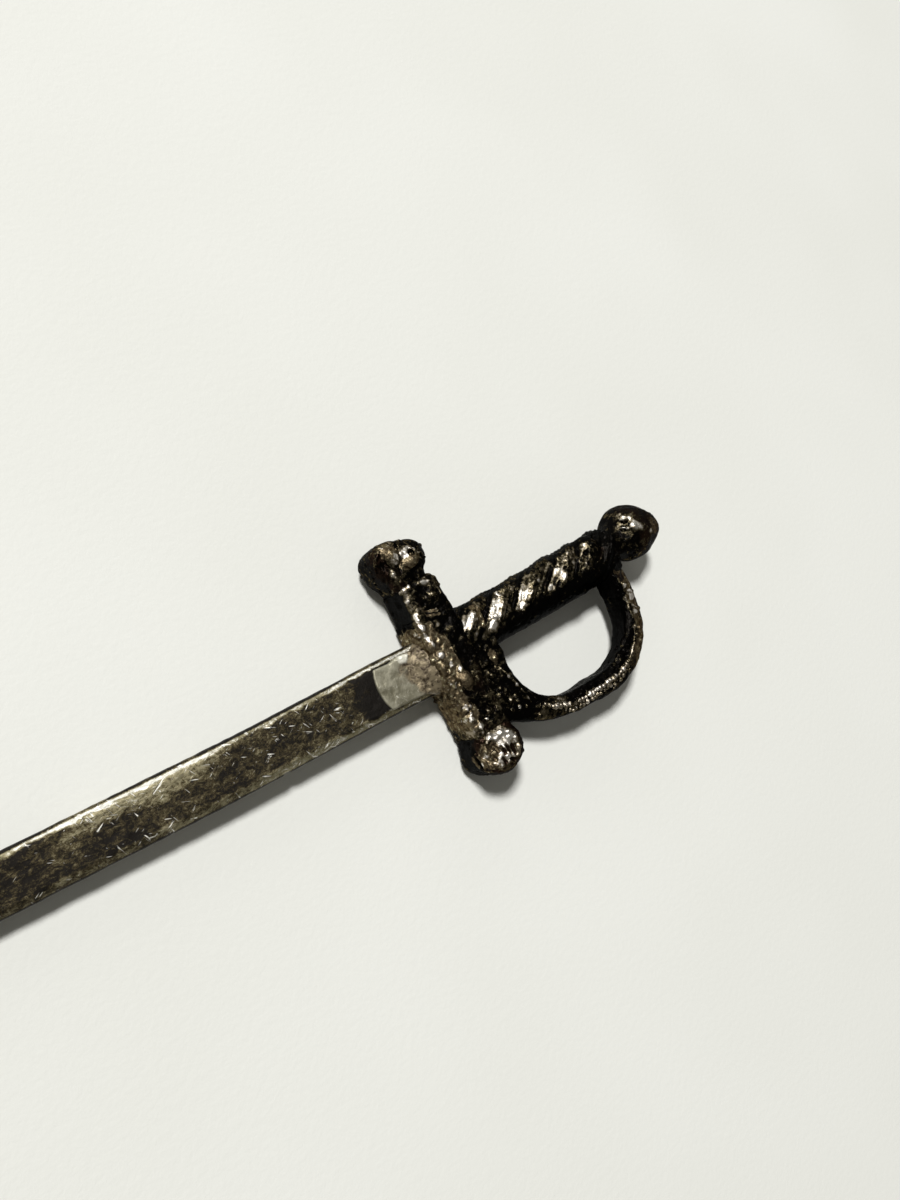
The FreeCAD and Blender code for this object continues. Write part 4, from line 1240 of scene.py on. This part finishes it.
def build_solder(material):
    """The solder film over the blade's root, running up and over the guard's front wall."""
    low, high = (np.array(corner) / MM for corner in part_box("blade_solder"))
    reach = low[0]
    corner = (high[0] + 1.3, high[1] + 1.1, high[2] + 0.5)
    clay = Clay((reach - 0.4, low[1] - 0.8, -0.1), corner, FINE_CELL)
    x, y, _ = np.moveaxis(clay.points, -1, 0)
    film = block(clay.points, (reach, low[1], 0.2), (high[0] + 0.7, high[1] + 0.1, 0.56), 0.1)
    nose = np.hypot(x - reach - SOLDER_NOSE, y - 0.2) - SOLDER_NOSE
    clay.join(smooth_max(film, np.where(x > reach + 2.0, -FAR, nose), 0.08))
    clay.join(ellipsoid(clay.points, (0.35, 0.15, 0.1), (1.45, 1.75, 1.2)), 0.5)
    clay.settle()
    clay.bead(SOLDER_BEAD, (0.45, 0.24, 0.14), 0.2)
    clay.scatter(40, (0.1, 0.22), 128, 0.8, lambda p: (p[:, 0] > -1.0) & (p[:, 2] > 0.4))
    clay.roughen((0.9, 0.03, 125), (0.25, 0.01, 126))
    points, faces, proud = clay.mesh()
    edge = points[:, 0] + 0.5 * rough(points, 0.7, 127) - 0.5 * step(-points[:, 1], -0.2, 0.8)
    make_piece("blade_solder", points, faces, material, "solder", ["blade_solder"],
               gilt=step(edge, -2.0, -0.9), proud=proud, rubbed=spots(points, SOLDER_MARKS))


# ---------- stage
# the paper, the room's faint light and the camera that matches the photo
UP = Vector((0.0, 0.0, 1.0))
FLOOR_TILT, FLOOR_LEVEL, FLOOR_HALF = Vector((0.018, 0.0095, 1.0)), -1.73 * MM, 0.6
ROOM_LIGHT, ROOM_STRENGTH = (1.0, 0.97, 0.88, 1.0), 0.14
CAMERA_RIGHT, CAMERA_UP = Vector((0.7874, -0.4163, 0.4546)), Vector((0.3605, 0.9092, 0.2081))
CAMERA_PLACE, CAMERA_LENS = Vector((-22.62, 2.96, 44.54)) * MM, 27.0


def build_floor(material):
    """The sheet of paper that the pin lies on, touching it under the blade's point and the hilt."""
    mesh = bpy.data.meshes.new("paper")
    half = FLOOR_HALF
    corners = [(-half, -half, 0), (half, -half, 0), (half, half, 0), (-half, half, 0)]
    mesh.from_pydata(corners, [], [(0, 1, 2, 3)])
    mesh.materials.append(material)
    sheet = bpy.data.objects.new("paper", mesh)
    turn = UP.rotation_difference(FLOOR_TILT.normalized()).to_matrix().to_4x4()
    sheet.matrix_world = Matrix.Translation((0.0, 0.0, FLOOR_LEVEL)) @ turn
    bpy.context.scene.collection.objects.link(sheet)


def panel(name, direction, width, height, watts, colour):
    """A soft rectangular lamp that looks at the hilt from a direction, 1.2 m away."""
    lamp = bpy.data.lights.new(name, "AREA")
    lamp.shape = "RECTANGLE"
    lamp.size, lamp.size_y = width, height
    lamp.energy = watts
    lamp.color = colour
    holder = bpy.data.objects.new(name, lamp)
    towards = Vector(direction).normalized()
    holder.location = towards * 1.2
    holder.rotation_euler = towards.to_track_quat("Z", "Y").to_euler()
    bpy.context.scene.collection.objects.link(holder)


def light_scene():
    world = bpy.data.worlds.new("room")
    world.use_nodes = True
    background = world.node_tree.nodes["Background"]
    background.inputs["Color"].default_value = ROOM_LIGHT
    background.inputs["Strength"].default_value = ROOM_STRENGTH
    bpy.context.scene.world = world
    panel("key", (-0.258, 0.625, 1.0), 0.19, 0.19, 15.6, (1.0, 0.993, 0.975))
    panel("window", (0.30, 0.88, 0.36), 0.9, 0.36, 1.1, (1.0, 0.99, 0.97))


def place_camera():
    """The camera looks down at the hilt from the blade's side, turned about its own axis."""
    data = bpy.data.cameras.new("camera")
    data.lens, data.sensor_width = CAMERA_LENS, 36.0
    data.clip_start = MM
    camera = bpy.data.objects.new("camera", data)
    axes = Matrix((CAMERA_RIGHT, CAMERA_UP, CAMERA_RIGHT.cross(CAMERA_UP)))
    camera.matrix_world = Matrix.Translation(CAMERA_PLACE) @ axes.transposed().to_4x4()
    bpy.context.scene.collection.objects.link(camera)
    bpy.context.scene.camera = camera
    bpy.context.scene.view_settings.view_transform = "Standard"


# ---------- build
hilt = aged_metal("hilt_metal")
grip = aged_metal("grip_metal", 0.0)
bead = aged_metal("bead_metal", 0.04)
blade = blade_metal()
for build in (build_crossguard, build_upper_finial, build_lower_finial, build_pommel, build_rivet, build_bow):
    build(hilt)
build_beads(bead)
build_grip(grip)
build_rod(hilt)
build_blade(blade)
build_solder(solder_metal())
build_floor(paper())
light_scene()
place_camera()
